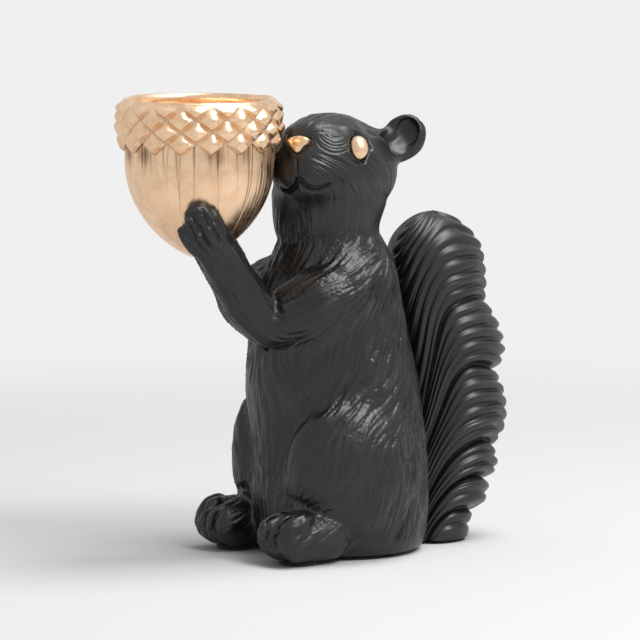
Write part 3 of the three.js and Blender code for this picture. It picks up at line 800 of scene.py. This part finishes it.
def carveFigure(cast):
    piece = castFrom("figure", cast | {"clay": figureClay(cast)})
    mesh = piece.data
    points = readPoints(mesh)
    links = neighbours(mesh)
    print("figure cast:", len(points), "points")

    near = [nearness(points, *seam) for seam in cast["seams"]]
    near += [onBothSides(toHead(points), *seam) for seam in cast["headSeams"]]
    weight = cast["seamBlend"] * np.minimum(1, cast["seamGain"] * np.max(near, axis=0))
    points = soften(points, links, cast["seamRounds"], weight)
    weight = np.full(len(points), cast["blend"])
    for place, reach in cast["fine"]:
        near = np.minimum(1, cast["fineGain"] * nearness(points, place, reach))
        weight += (cast["fineBlend"] - weight) * near
    points = soften(points, links, cast["rounds"], weight)
    writePoints(mesh, points)
    normals = readNormals(mesh)

    neck = cast["neckPinch"]
    back = (np.abs(points[:, 0]) * neck["way"][0] + points[:, 1] * neck["way"][1]) / neck["ease"]
    sink = neck["depth"] * bell(points[:, 2] - neck["height"], neck["reach"]) * np.clip(back, 0, 1)
    fold = np.zeros(len(points))
    swell = np.zeros(len(points))
    for line in foldLines():
        laid = laidOn(points, normals, smoothLine(line["stops"]))
        share = groove(points, laid, line["width"], line["fade"])
        fold = np.maximum(fold, line.get("depth", 0) * share)
        swell = np.maximum(swell, line.get("height", 0) * share)
    sink += hollowEars(points, normals) - swell
    writePoints(mesh, points - normals * (cast["swell"] + sink + fold)[:, None])

    points = readPoints(mesh)
    normals = readNormals(mesh)
    way = lieOfHair(points, normals, hairGuides(), hairShare["guidePower"])
    low, high = hairShare["flatHeights"]
    keep = np.clip((points[:, 2] - low) / (high - low), 0, 1)
    head = eased(points[:, 2], *hairShare["neckHeights"])
    head *= np.hypot(points[:, 0], points[:, 1]) < hairShare["neckRadius"]
    keep *= 1 + (hairShare["head"] - 1) * head
    for place, reach, gain in hairShare["patches"]:
        keep *= 1 + gain * onBothSides(points, place, reach)
    for place, reach in hairShare["bare"]:
        near = np.minimum(1, hairShare["bareGain"] * onBothSides(toHead(points), place, reach))
        keep *= 1 - hairShare["bareness"] * near
    rise = sum(hair["height"] * combed(points, normals, way, links, hair) for hair in hairs.values())
    rise = patchy(len(points), links, hairChange["locks"]) * rise
    cuts = patchy(len(points), links, hairChange["strokes"])
    rise -= cuts * strokes["depth"] * carvedStrokes(points, normals, way, strokes)
    rise *= keep
    writePoints(mesh, points + normals * rise[:, None])
    # painted shade in the hair's cuts and in the folds, lighter on the crests
    relief = 0.5 + hairShare["relief"] * rise - hairShare["foldShade"] * fold
    setAttribute(mesh, "relief", np.clip(relief, 0, 1))
    return piece


def closeRim(bm, rim):
    bmesh.ops.holes_fill(bm, edges=rim, sides=0)
    for edge in rim:
        edge.smooth = False


# A copy of what lies past each cut, closed there. A cut is a place and a way.
def partOf(piece, name, cuts):
    bm = bmesh.new()
    bm.from_mesh(piece.data)
    for place, way in cuts:
        cut = bmesh.ops.bisect_plane(
            bm,
            geom=bm.verts[:] + bm.edges[:] + bm.faces[:],
            plane_co=onFigure(*place),
            plane_no=way,
            clear_inner=True,
        )
        rim = [item for item in cut["geom_cut"] if isinstance(item, bmesh.types.BMEdge) and item.is_valid]
        closeRim(bm, [edge for edge in rim if edge.is_boundary])
    return newPiece(name, bm)


def finishPiece(piece, material, slot, *nodes):
    piece.data.materials.clear()
    piece.data.materials.append(material)
    piece.data.polygons.foreach_set("use_smooth", np.ones(len(piece.data.polygons), dtype=bool))
    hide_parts(*nodes)
    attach(piece, "root")
    print(piece.name, "made:", sum(len(face.vertices) - 2 for face in piece.data.polygons), "triangles")


figure = carveFigure(figureCast)
collar = (0, 0, figureCast["collarHeight"])
waist = (0, 0, figureCast["waistHeight"])
up, down = (0, 0, 1), (0, 0, -1)
chestPiece = partOf(figure, "chest_and_forelegs", [(waist, up), (collar, down)])
finishPiece(chestPiece, resin, "black_resin", "body", "left_foreleg", "right_foreleg")
for name, side in (("left_haunch", (1, 0, 0)), ("right_haunch", (-1, 0, 0))):
    haunch = partOf(figure, name, [(waist, down), ((0, 0, 0), side)])
    finishPiece(haunch, resin, "black_resin", "body")
headPiece = partOf(figure, "head_casting", [(collar, up)])
bpy.data.objects.remove(figure)


# Face, in the head's frame. What lies on the left is mirrored to the right.

faceForms = [
    {"place": (4, -23.5, -6.5), "reach": 7, "rise": 0.6},  # muzzle
    {"place": (0.1, -21, -14.5), "reach": 5, "rise": 0.3},  # chin
    {"place": (12, -14, -8), "reach": 9, "rise": 0.5},  # cheek
    {"place": (12.3, -4.4, 10.3), "reach": 8, "rise": -1.2},  # dip between the brow and the ear
    {"place": (11.5, -15.5, 7.5), "reach": 4, "rise": 0.5},  # brow
]
mouth = [(0, -24.2, -9), (1, -23.2, -10.9), (2.2, -22.2, -12), (4, -20.8, -12.7)]
mouth += [(5.6, -20, -12.3), (7.1, -19.5, -11.5), (8.8, -18.7, -10.2)]
lipCleft = [(0, -25.5, -3.8), (0, -25.1, -6.5), (0, -24.3, -9)]
faceLines = [
    {"stops": mouth, "width": 0.72, "depth": 1.3, "fade": 1.5},
    {"stops": lipCleft, "width": 0.4, "depth": 0.5, "fade": 1},
]
# From the middle of the eye: how far along and above, as seen facing it
upperLid = [(-1.2, 4.6), (0.8, 4.9), (2.9, 3.9), (4.3, 1.8), (4.5, -0.4)]
lowerLid = [(-2.6, -3.7), (-0.4, -4.5), (2, -4.1), (3.8, -2.4)]
lidLines = [
    {"stops": upperLid, "width": 0.8, "depth": 1.3, "fade": 1.5},
    {"stops": lowerLid, "width": 0.5, "depth": 0.7, "fade": 1.5},
]
lidOut = 1.5  # how far the lids lie out from the middle of the eye
fineCuts = {
    "places": [(4, -23, -8), (9.5, -20, 0), (11, -17, -7)],  # where the mesh is made finer
    "reach": 9,
    "whiskers": 10,
    "whiskerEdges": (
        [(3.2, -24.9, -1.8), (9.5, -20.8, -3.5), (14.3, -9, -6.5)],
        [(4, -24.2, -6.5), (7.5, -21.9, -9.3), (10.5, -14, -11.8)],
    ),
    "whiskerDepth": (0.18, 0.38),
    "creases": 6,
    "creaseEdges": (
        [
            (4.7, -23.7, 2.8),
            (6.2, -23.6, -0.1),
            (9.5, -21.7, -1.7),
            (11.9, -18.4, -0.3),
            (12.3, -16.6, 2.3),
        ],
        [(6.2, -22.8, 5), (7.5, -22, 3.6), (9, -20.5, 3), (10.5, -18.5, 3.6), (11.2, -16.8, 5.2)],
    ),
    "creaseDepth": (0.1, 0.24),
    "width": 0.33,
    "fade": 2.5,
    "jitter": 0.04,
    "starts": (0, 0.3),  # shares of a line's length
    "ends": (0.7, 1),
    "seed": 21,
}
# painted shade: how much darker the face's carved lines are painted
faceCutShade = 0.6


def refine(piece, cuts):  # more points where the thin lines are carved
    points = toHead(readPoints(piece.data))
    points[:, 0] = np.abs(points[:, 0])
    close = np.zeros(len(points), dtype=bool)
    for place in cuts["places"]:
        close |= np.linalg.norm(points - np.array(place), axis=1) < cuts["reach"]
    bm = bmesh.new()
    bm.from_mesh(piece.data)
    edges = [edge for edge in bm.edges if close[edge.verts[0].index] and close[edge.verts[1].index]]
    bmesh.ops.subdivide_edges(bm, edges=edges, cuts=1, use_grid_fill=True)
    bm.to_mesh(piece.data)
    bm.free()


def fineLines(cuts):
    random = np.random.default_rng(cuts["seed"])
    lines = []
    for kind in ("whisker", "crease"):
        first, last = [smoothLine(edge) for edge in cuts[kind + "Edges"]]
        for share in np.linspace(0, 1, cuts[kind + "s"]):
            line = first + (last - first) * (share + random.uniform(-cuts["jitter"], cuts["jitter"]))
            start = int(random.uniform(*cuts["starts"]) * len(line))
            end = int(random.uniform(*cuts["ends"]) * len(line))
            depth = random.uniform(*cuts[kind + "Depth"])
            lines.append(cuts | {"stops": line[start:end], "depth": depth})
    return lines


def aroundEye(stops):  # lid lines in the head's frame
    low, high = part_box("left_eye")
    middle = toHead(fromAxis((low + high) / 2))
    outward = middle / np.linalg.norm(middle)
    along = np.cross((0, 0, 1), outward)
    along /= np.linalg.norm(along)
    above = np.cross(outward, along)
    return [middle + lidOut * outward + along * right + above * up for right, up in stops]


def carveFace(piece):
    refine(piece, fineCuts)
    mesh = piece.data
    points = readPoints(mesh)
    normals = readNormals(mesh)
    local = toHead(points)
    rise = np.zeros(len(points))
    for side in sides:
        for form in faceForms:
            share = 0.5 if abs(form["place"][0]) < 1 else 1  # a form in the middle is met twice
            rise += share * form["rise"] * nearness(local * side, form["place"], form["reach"])
    points = points + normals * rise[:, None]
    writePoints(mesh, points)

    normals = readNormals(mesh)
    local = toHead(points)
    facing = normals @ headTurn
    cut = np.zeros(len(points))
    lines = faceLines + [line | {"stops": aroundEye(line["stops"])} for line in lidLines]
    lines = [line | {"stops": smoothLine(line["stops"])} for line in lines] + fineLines(fineCuts)
    for side in sides:
        for line in lines:
            laid = laidOn(local * side, facing * side, line["stops"])
            cut = np.maximum(cut, line["depth"] * groove(local * side, laid, line["width"], line["fade"]))
    writePoints(mesh, points - normals * cut[:, None])
    # the carved lines are painted darker as shade
    setAttribute(mesh, "relief", np.clip(getAttribute(mesh, "relief") - faceCutShade * cut, 0, 1))


carveFace(headPiece)
finishPiece(headPiece, resin, "black_resin", "head")


# Tail

tailShape = {
    "base": 1,  # height of its underside
    "length": 96.5,
    "around": 260,  # points round a section
    "up": 360,
    "crowd": 2.4,  # how much closer the points are where the ridges run upright
    "crowdFront": (0.8, 0.17),  # middle and reach of that place
    "heights": (0, 14, 36.2, 56, 73.8, 87.8, 96.5),
    "backs": (32, 37.3, 41, 40, 36.5, 34, 33),
    "halfWidths": (11.1, 13, 14, 14, 13.4, 11.5, 9.5),
    "halfDepths": (11.2, 15.6, 17, 17, 16.5, 15, 11.9),
    "evening": 12,  # how far up and down these are evened
    "crown": 12,  # height of the rounded top
    "crownShare": 0.1,  # of the rows of points
    "notches": (-8, 9.5, 18.8, 28.5, 51.6, 71.4, 160.2),  # under each tuft, at the back edge
    "notchDepth": 0.27,  # share of the section
    "notchFront": 0.6,  # how much of it is lost at the front edge
    "notchReach": 0.96,  # less than 1, which rounds its floor
    "belly": 0.35,  # where a tuft is fullest, as a share of its height
    "sweep": 46,  # how much lower a tuft starts at the front edge
    "crownSweep": 20,
    "crownFrom": 0.68,  # share of the length where the sweep starts to change
    "curl": 7,
    "droop": 4,
    "droopReach": 0.35,
    "ridges": (4, 2, 3, 6, 5, 22),  # in each tuft
    "ridgeHeight": (1.35, 0.5),  # at the back edge and at the front
    "ridgeFade": (0.2, 0.9),
    "ridgePower": 0.375,
    "ridgeFloor": 0.03,  # rounds the grooves between the ridges
    "ridgeRange": (0.268, 0.743),  # a rounded ridge's lowest value and its span
    "ridgeMiddle": 0.75,  # what lies on the plain surface
    "strandHeight": 0.09,
    "sway": 0.35,
    "flatHeight": 4,  # the underside stays flat
}
# how the tail's carving is painted into the colour: lighter on ridges, darker between them and in the
# notches under the tufts, as painted shade
tailRelief = {"ridge": 0.7, "middle": 0.72, "notch": 0.4, "strand": 0.07}


def evened(heights, values, at, reach):  # a smooth line through values at heights
    fine = np.linspace(-reach, heights[-1] + reach, 600)
    line = np.interp(fine, heights, values)
    kernel = np.ones(int(reach / (fine[1] - fine[0])))
    padded = np.pad(line, len(kernel), mode="edge")
    line = np.convolve(padded, kernel / kernel.sum(), "same")[len(kernel) : -len(kernel)]
    return np.interp(at, fine, line)


def tuftLevel(shape, height, front):  # the level at the back edge of the tuft line through each point
    lag = np.clip(1 - front / shape["droopReach"], 0, 1) ** 2
    low, high = height.copy(), height + shape["sweep"] + shape["droop"]
    for step in range(30):
        level = (low + high) / 2
        rising = eased(level, shape["crownFrom"] * shape["length"], shape["length"])
        sweep = shape["sweep"] + (shape["crownSweep"] - shape["sweep"]) * rising
        above = level - sweep * front ** shape["curl"] - shape["droop"] * lag > height
        high = np.where(above, level, high)
        low = np.where(above, low, level)
    return (low + high) / 2


def crowded(shape, share):  # angles round a section
    angle = np.linspace(0, 2 * math.pi, 4000)
    front = (1 - np.sin(angle)) / 2
    middle, reach = shape["crowdFront"]
    total = np.cumsum(1 + shape["crowd"] * bell(front - middle, reach))
    return np.interp(share, (total - total[0]) / (total[-1] - total[0]), angle)


def makeTail(shape):
    bm = bmesh.new()
    bmesh.ops.create_grid(bm, x_segments=shape["around"], y_segments=shape["up"], size=1)
    piece = newPiece("tail_casting", bm)
    mesh = piece.data
    flat = np.empty(len(mesh.vertices) * 3)
    mesh.vertices.foreach_get("co", flat)
    across, share = (flat.reshape(-1, 3)[:, :2].T + 1) / 2
    angle = crowded(shape, across)
    straight = shape["length"] - shape["crown"]
    start = 1 - shape["crownShare"]
    top = np.clip((share - start) / shape["crownShare"], 0, 1) * math.pi / 2
    height = np.where(share < start, share / start * straight, straight + shape["crown"] * np.sin(top))
    crown = np.cos(top)
    names = ("backs", "halfWidths", "halfDepths")
    lines = [evened(shape["heights"], shape[name], height, shape["evening"]) for name in names]
    back, halfWidth, halfDepth = lines

    front = (1 - np.sin(angle)) / 2  # 0 at the back edge
    level = tuftLevel(shape, height, front)
    level += shape["sway"] * (np.sin(3 * angle + height / 9) + 0.7 * np.sin(5 * angle - height / 6 + 1))
    tuft = np.zeros(len(level))
    ridge = np.zeros(len(level))
    belly, reach = shape["belly"], shape["notchReach"]
    floor = math.sqrt(1 - reach**2)
    for low, high, count in zip(shape["notches"][:-1], shape["notches"][1:], shape["ridges"]):
        inside = (level >= low) & (level < high)
        place = (level[inside] - low) / (high - low)
        off = np.where(place < belly, 1 - place / belly, (place - belly) / (1 - belly))
        tuft[inside] = (np.sqrt(1 - (reach * off) ** 2) - floor) / (1 - floor)
        ridge[inside] = (np.sin(math.pi * count * place) ** 2 + shape["ridgeFloor"]) ** shape["ridgePower"]
    lowest, span = shape["ridgeRange"]
    ridge = (ridge - lowest) / span
    strand = np.sin(level * 7.1 + 2 * np.sin(2 * angle))
    strand += np.sin(level * 4.7 + 3 * np.sin(angle + level / 15))
    strand *= 0.5 + 0.5 * np.sin(level / 3 + 2 * np.cos(3 * angle))
    keep = np.clip(height / shape["flatHeight"], 0, 1)
    outer, inner = shape["ridgeHeight"]
    bold = outer + (inner - outer) * eased(front, *shape["ridgeFade"])
    scale = 1 - shape["notchDepth"] * (1 - tuft) * (1 - shape["notchFront"] * front)
    rise = keep * (bold * (ridge - shape["ridgeMiddle"]) + shape["strandHeight"] * strand)
    x = (halfWidth * scale + rise) * crown * np.cos(angle)
    y = back + (halfDepth * scale + rise) * crown * np.sin(angle)
    z = shape["base"] + height + 0.5 * rise * (1 - crown)
    writePoints(mesh, np.stack([x, y, z], axis=1))
    # painted shade in the valleys and under the tufts, lighter on the ridge tops
    relief = 0.5 + tailRelief["ridge"] * bold * (ridge - tailRelief["middle"])
    relief -= tailRelief["notch"] * np.clip(0.4 - tuft, 0, 1)
    relief += tailRelief["strand"] * strand
    setAttribute(mesh, "relief", np.clip(relief, 0, 1))

    bm = bmesh.new()
    bm.from_mesh(mesh)
    bmesh.ops.remove_doubles(bm, verts=bm.verts, dist=0.01 * mm)
    closeRim(bm, [edge for edge in bm.edges if edge.is_boundary])
    bmesh.ops.recalc_face_normals(bm, faces=bm.faces)
    bm.to_mesh(mesh)
    bm.free()
    return piece


tailPiece = makeTail(tailShape)
finishPiece(tailPiece, resin, "black_resin", "tail")


# Acorn

nutLow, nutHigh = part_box("acorn_nut")
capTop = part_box("acorn_cap")[1].z
acornAxis = Vector(((nutLow.x + nutHigh.x) / 2, (nutLow.y + nutHigh.y) / 2, capTop))  # at the rim

nutShape = {
    "radius": 21.5,
    "neckTop": 4,  # below the rim, as the other depths
    "shoulder": 18.2,
    "tip": 46.4,
    "taper": 1.4,
    "wellRadius": 20,
    "wellDepth": 17,
    "wellRound": 0.8,
    "steps": 600,
    "curvePoints": 70,
    "wallPoints": 16,
    "cuts": 190,
    "innerCuts": 55,  # longer and deeper, on the side that faces the figure
    "innerSide": 1.05,  # radians round from the figure's left
    "innerSpread": 0.5,
    "cutDepth": (0.03, 0.12),
    "innerGain": 1.3,
    "outerGain": 0.8,
    "cutWidth": (0.1, 0.24),
    "cutFade": 6,
    "innerEnds": (30, 44),
    "outerEnds": ((19, 24), (22, 42)),  # short or long
    "lean": 0.004,
    "leanFrom": 20,
    "band": (15, 3.2),  # depth and reach of the painted shade under the cap
    # brown painted into the cuts and under the cap as shade; in the cuts facing the figure it is partly a
    # painted reflection of the black head
    "cutShade": 5,
    "bandShade": 0.55,
    "seed": 31,
}


def spun(name, profile, steps):  # a profile of radius and depth, turned about the acorn's axis
    bm = bmesh.new()
    verts = [bm.verts.new(acornAxis + Vector((radius, 0, -depth)) * mm) for radius, depth in profile]
    edges = [bm.edges.new(pair) for pair in zip(verts[:-1], verts[1:])]
    turn = {"cent": acornAxis, "axis": (0, 0, 1), "angle": 2 * math.pi, "steps": steps, "use_merge": True}
    bmesh.ops.spin(bm, geom=verts + edges, **turn)
    bmesh.ops.remove_doubles(bm, verts=bm.verts, dist=0.001 * mm)
    bmesh.ops.recalc_face_normals(bm, faces=bm.faces)
    return newPiece(name, bm)


def acornPlaces(mesh):  # radius, angle and depth below the rim of each point
    points = readPoints(mesh) - fromAxis(acornAxis)
    return np.hypot(points[:, 0], points[:, 1]), np.arctan2(points[:, 1], points[:, 0]), -points[:, 2]


def placeOnAcorn(mesh, radius, angle, depth):
    points = np.stack([radius * np.cos(angle), radius * np.sin(angle), -depth], axis=1)
    writePoints(mesh, points + fromAxis(acornAxis))


def makeNut(shape):
    drop = shape["tip"] - shape["shoulder"]
    profile = [(0, shape["tip"])]
    for turn in np.linspace(math.pi / 2, 0, shape["curvePoints"])[1:]:
        radius = shape["radius"] * max(0, math.cos(turn)) ** shape["taper"]
        profile.append((radius, shape["shoulder"] + drop * math.sin(turn)))
    wall = np.linspace(shape["shoulder"], shape["neckTop"], shape["wallPoints"])[1:]
    well, bottom = shape["wellRadius"], shape["wellDepth"]
    profile += [(shape["radius"], depth) for depth in wall]
    profile += [(well, shape["neckTop"]), (well, bottom - shape["wellRound"])]
    profile += [(well - shape["wellRound"], bottom), (0, bottom)]
    piece = spun("acorn_nut_cup", profile, shape["steps"])
    mesh = piece.data
    radius, angle, depth = acornPlaces(mesh)
    outside = (depth > bottom + 0.1) | (radius > well + 0.5)
    random = np.random.default_rng(shape["seed"])
    rise = np.zeros(len(radius))
    for cut in range(shape["cuts"]):
        inner = cut < shape["innerCuts"]
        if inner:
            middle = random.normal(shape["innerSide"], shape["innerSpread"])
        else:
            middle = random.uniform(-math.pi, math.pi)
        width = random.uniform(*shape["cutWidth"])
        deep = random.uniform(*shape["cutDepth"]) * shape["innerGain" if inner else "outerGain"]
        if inner:
            end = random.uniform(*shape["innerEnds"])
        else:
            end = random.choice([random.uniform(*ends) for ends in shape["outerEnds"]])
        lean = random.uniform(-shape["lean"], shape["lean"])
        off = np.angle(np.exp(1j * (angle - middle - lean * (depth - shape["leanFrom"])))) * radius
        rise -= deep * bell(off, width) * np.clip((end - depth) / shape["cutFade"], 0, 1)
    rise *= outside
    placeOnAcorn(mesh, radius + rise, angle, depth)
    # a streaky band of painted shade under the cap, and brown in the cuts as painted shade and, facing the
    # figure, partly as painted reflection
    middle, reach = shape["band"]
    band = bell(depth - middle, reach) * (0.55 + 0.45 * np.sin(9 * angle + 2 * np.sin(4 * angle)))
    washAndShade = shape["bandShade"] * band - shape["cutShade"] * rise
    setAttribute(mesh, "washAndShade", np.clip(outside * washAndShade, 0, 1))
    return piece


capShape = {
    "height": 15.2,
    "lip": 21.6,  # radius of the lip's top
    "bulge": 23.1,
    "foot": 22.3,
    "neck": 21.8,
    "wellRadius": 20,
    "ledge": 3.7,  # where it rests on the nut's neck, below the rim
    "lipShare": 0.13,
    "rows": 4,  # half rows of scales
    "scales": 16,
    "steps": 512,
    "rowPoints": 84,
    "cushion": 1.7,  # how far a scale's middle stands out
    "cushionPower": 0.85,
    "tilt": 0.3,
    "ridge": 0.26,
    "ridgeAt": (0.85, 0.06),  # middle and reach of the ridge along a scale's free edges
    "sink": 0.25,
    "lipWave": 0.22,
    "washAndShade": 0.4,
}


def makeCap(shape):
    h = shape["height"]
    lip, bulge = shape["lip"], shape["bulge"]
    knots = [(lip, 0), ((lip + bulge) / 2 + 0.6, 0.07 * h), (bulge - 0.2, 0.32 * h), (bulge, 0.55 * h)]
    knots += [(bulge - 0.9, 0.8 * h), (shape["foot"], h)]
    knots = np.array(knots)
    length = np.concatenate([[0], np.cumsum(np.linalg.norm(np.diff(knots, axis=0), axis=1))])

    def outline(share):  # radius and depth at a share of the way from the lip to the lower edge
        at = share * length[-1]
        return evened(length, knots[:, 0], at, 3), evened(length, knots[:, 1], at, 1.5)

    shares = np.linspace(0, 1, shape["rowPoints"])
    radii, depths = outline(shares)
    well, neck, ledge = shape["wellRadius"], shape["neck"], shape["ledge"]
    profile = [(well, ledge), (well, 1.1), (well + 0.25, 0.45), (well + 0.75, 0.08)]
    profile += list(zip(radii, depths))
    profile += [(neck, h), (neck, ledge), profile[0]]
    piece = spun("acorn_cap_collar", profile, shape["steps"])
    mesh = piece.data
    radius, angle, depth = acornPlaces(mesh)
    outside = (radius > neck + 0.05) | ((radius > lip - 0.6) & (depth < 1))
    under = (radius <= neck + 0.05) & (depth > h - 0.1)  # the inner edge follows the points
    share = np.interp(depth, depths, shares)
    across = angle * shape["scales"] / (2 * math.pi) + shape["scales"]
    along = (share - shape["lipShare"]) / (1 - shape["lipShare"]) * shape["rows"]
    tip = np.maximum(0.06, np.abs(2 * (across % 1) - 1))
    last = shape["rows"] - 1
    along = np.where(along > last, last + (along - last) * tip, along)
    down = np.clip(along, -2, 4) / shape["rows"] * (1 - shape["lipShare"])
    newRadius, newDepth = outline(shape["lipShare"] + down)

    a = (across + along / 2) % 1  # along one of a scale's diagonals
    b = 1 - (across - along / 2) % 1  # and along the other
    cushion = np.clip(np.sin(math.pi * a) * np.sin(math.pi * b), 0, 1) ** shape["cushionPower"]
    edge = eased(1 - a, 0, 0.13) * eased(1 - b, 0, 0.13) * eased(a, 0, 0.3) * eased(b, 0, 0.3)
    middle, reach = shape["ridgeAt"]
    ridge = bell(a - middle, reach) + bell(b - middle, reach)
    raised = shape["tilt"] * (a + b) / 2 + shape["ridge"] * np.minimum(1, ridge)
    rise = shape["cushion"] * cushion + edge * raised
    rise *= eased(along, -0.25, 0.45)
    wave = np.sin(3 * angle + 1) + 0.6 * np.sin(7 * angle) + 0.4 * np.sin(11 * angle + 2)
    lipWave = shape["lipWave"] * wave * (1 - eased(share, 0.05, 0.2))
    finalRadius = np.where(outside, newRadius + rise - shape["sink"] + 0.3 * lipWave, radius)
    finalDepth = np.where(outside | under, newDepth + 0.6 * lipWave, depth)
    placeOnAcorn(mesh, finalRadius, angle, finalDepth)
    # browner in the hollows between the scales, as wash and painted shade
    hollow = eased(0.5 - rise, 0, 0.5) * eased(along, 0, 0.5)
    setAttribute(mesh, "washAndShade", np.clip(outside * shape["washAndShade"] * hollow, 0, 1))
    return piece


nutPiece = makeNut(nutShape)
finishPiece(nutPiece, gold, "gold_finish", "acorn_nut")
capPiece = makeCap(capShape)
finishPiece(capPiece, gold, "gold_finish", "acorn_cap")


# Eyes and nose

eyeShape = {"width": 6.2, "height": 7.3}
noseCast = {"nodes": ["nose"], "voxel": 0.14, "swell": 0.25, "sharpAngle": 200, "rounds": 40, "blend": 0.5}
# In the head's frame, mirrored
nostrils = {"place": (2.2, -25, -1.2), "reach": 1.5, "depth": 0.4, "washAndShade": 0.5}


def makeEye(node):
    low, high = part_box(node)
    turn = Matrix(headTurn.tolist()).to_4x4()
    half = Vector((eyeShape["width"], eyeShape["width"], eyeShape["height"])) * mm / 2
    place = Matrix.Translation((low + high) / 2) @ turn @ Matrix.Diagonal((*half, 1))
    bm = bmesh.new()
    bmesh.ops.create_uvsphere(bm, u_segments=64, v_segments=40, radius=1, matrix=place)
    bead = newPiece(node + "_bead", bm)
    setAttribute(bead.data, "washAndShade", np.zeros(len(bead.data.vertices)))
    finishPiece(bead, gold, "gold_finish", node)


def makeNose(cast):
    piece = castFrom("nose_inset", cast)
    mesh = piece.data
    points = readPoints(mesh)
    points = soften(points, neighbours(mesh), cast["rounds"], np.full(len(points), cast["blend"]))
    writePoints(mesh, points)
    local = toHead(points)
    dent = sum(nearness(local * side, nostrils["place"], nostrils["reach"]) for side in sides)
    writePoints(mesh, points - readNormals(mesh) * (nostrils["depth"] * dent)[:, None])
    # the nostril dents are painted browner as shade
    setAttribute(mesh, "washAndShade", np.clip(nostrils["washAndShade"] * dent, 0, 1))
    finishPiece(piece, gold, "gold_finish", "nose")


makeEye("left_eye")
makeEye("right_eye")
makeNose(noseCast)


# Felt pads

padShape = {"edge": 0.25, "edgeSegments": 3, "segments": 72}


def makePad(node):
    low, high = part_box(node)
    radius = (high.x - low.x) / 2
    bm = bmesh.new()
    bmesh.ops.create_cone(
        bm,
        cap_ends=True,
        segments=padShape["segments"],
        radius1=radius,
        radius2=radius,
        depth=high.z - low.z,
        matrix=Matrix.Translation((low + high) / 2),
    )
    bmesh.ops.bevel(
        bm,
        geom=[edge for edge in bm.edges if edge.calc_face_angle(0) > 1],
        offset=padShape["edge"] * mm,
        affect="EDGES",
        segments=padShape["edgeSegments"],
        profile=0.5,
        material=-1,
    )
    disc = newPiece(node + "_disc", bm)
    finishPiece(disc, felt, "felt", node)


for node in ("left_foot_pad", "right_foot_pad", "tail_pad"):
    makePad(node)


# Stage: a pale floor that fades into the background, and soft light from above and from the side

stageLook = {
    "floor": (0.75, 0.738, 0.742, 1),
    "floorRoughness": 0.9,
    "floorSize": 1.2,
    "fade": (0.2, 0.5),  # how far out the floor starts and ends to fade
    "background": (0.87, 0.87, 0.87, 1),
    "ambient": 0.34,
    "mirrorLevel": 0.86,
}
softBoxes = [
    {"name": "overhead", "place": (105, 230, 1085), "size": 0.5, "power": 7},
    {"name": "side", "place": (690, 240, 900), "size": 0.5, "power": 7},
]
lampAim = (0, 0, 60)  # the middle of the figure


def makeStage(look):
    bm = bmesh.new()
    bmesh.ops.create_grid(bm, x_segments=1, y_segments=1, size=look["floorSize"])
    floor = newPiece("floor", bm)
    material, wire = newMaterial("floor")
    place = wire.add("TexCoord", {}, {}, "Object")
    reach = wire.add("VectorMath", {"operation": "LENGTH"}, {0: place}, "Value")
    fade = reach.ranged(*look["fade"], 1, 0)
    paint(wire, {"Base Color": look["floor"], "Roughness": look["floorRoughness"], "Alpha": fade})
    floor.data.materials.append(material)

    world = bpy.data.worlds.new("studio")
    world.use_nodes = True
    world.node_tree.nodes.clear()
    wire = Wire(world.node_tree)
    seen = wire.add("LightPath", {}, {}, "Is Camera Ray")
    mirror = wire.add("LightPath", {}, {}, "Is Glossy Ray")
    through = wire.add("LightPath", {}, {}, "Is Transmission Ray")
    plain = (1 - seen) * (1 - mirror) * (1 - through)
    level = plain * look["ambient"] + mirror * look["mirrorLevel"] + seen + through
    shade = wire.add("Background", {}, {"Color": look["background"], "Strength": level})
    wire.add("OutputWorld", {}, {"Surface": shade})
    bpy.context.scene.world = world


def makeLights(boxes):
    for box in boxes:
        data = bpy.data.lights.new(box["name"], "AREA")
        data.energy = box["power"]
        data.size = box["size"]
        lamp = bpy.data.objects.new(box["name"], data)
        lamp.location = onFigure(*box["place"])
        lamp.rotation_euler = (onFigure(*lampAim) - lamp.location).to_track_quat("-Z", "Y").to_euler()
        bpy.context.scene.collection.objects.link(lamp)


makeStage(stageLook)
makeLights(softBoxes)
bpy.context.scene.view_settings.view_transform = "Standard"
print("stage and light set")
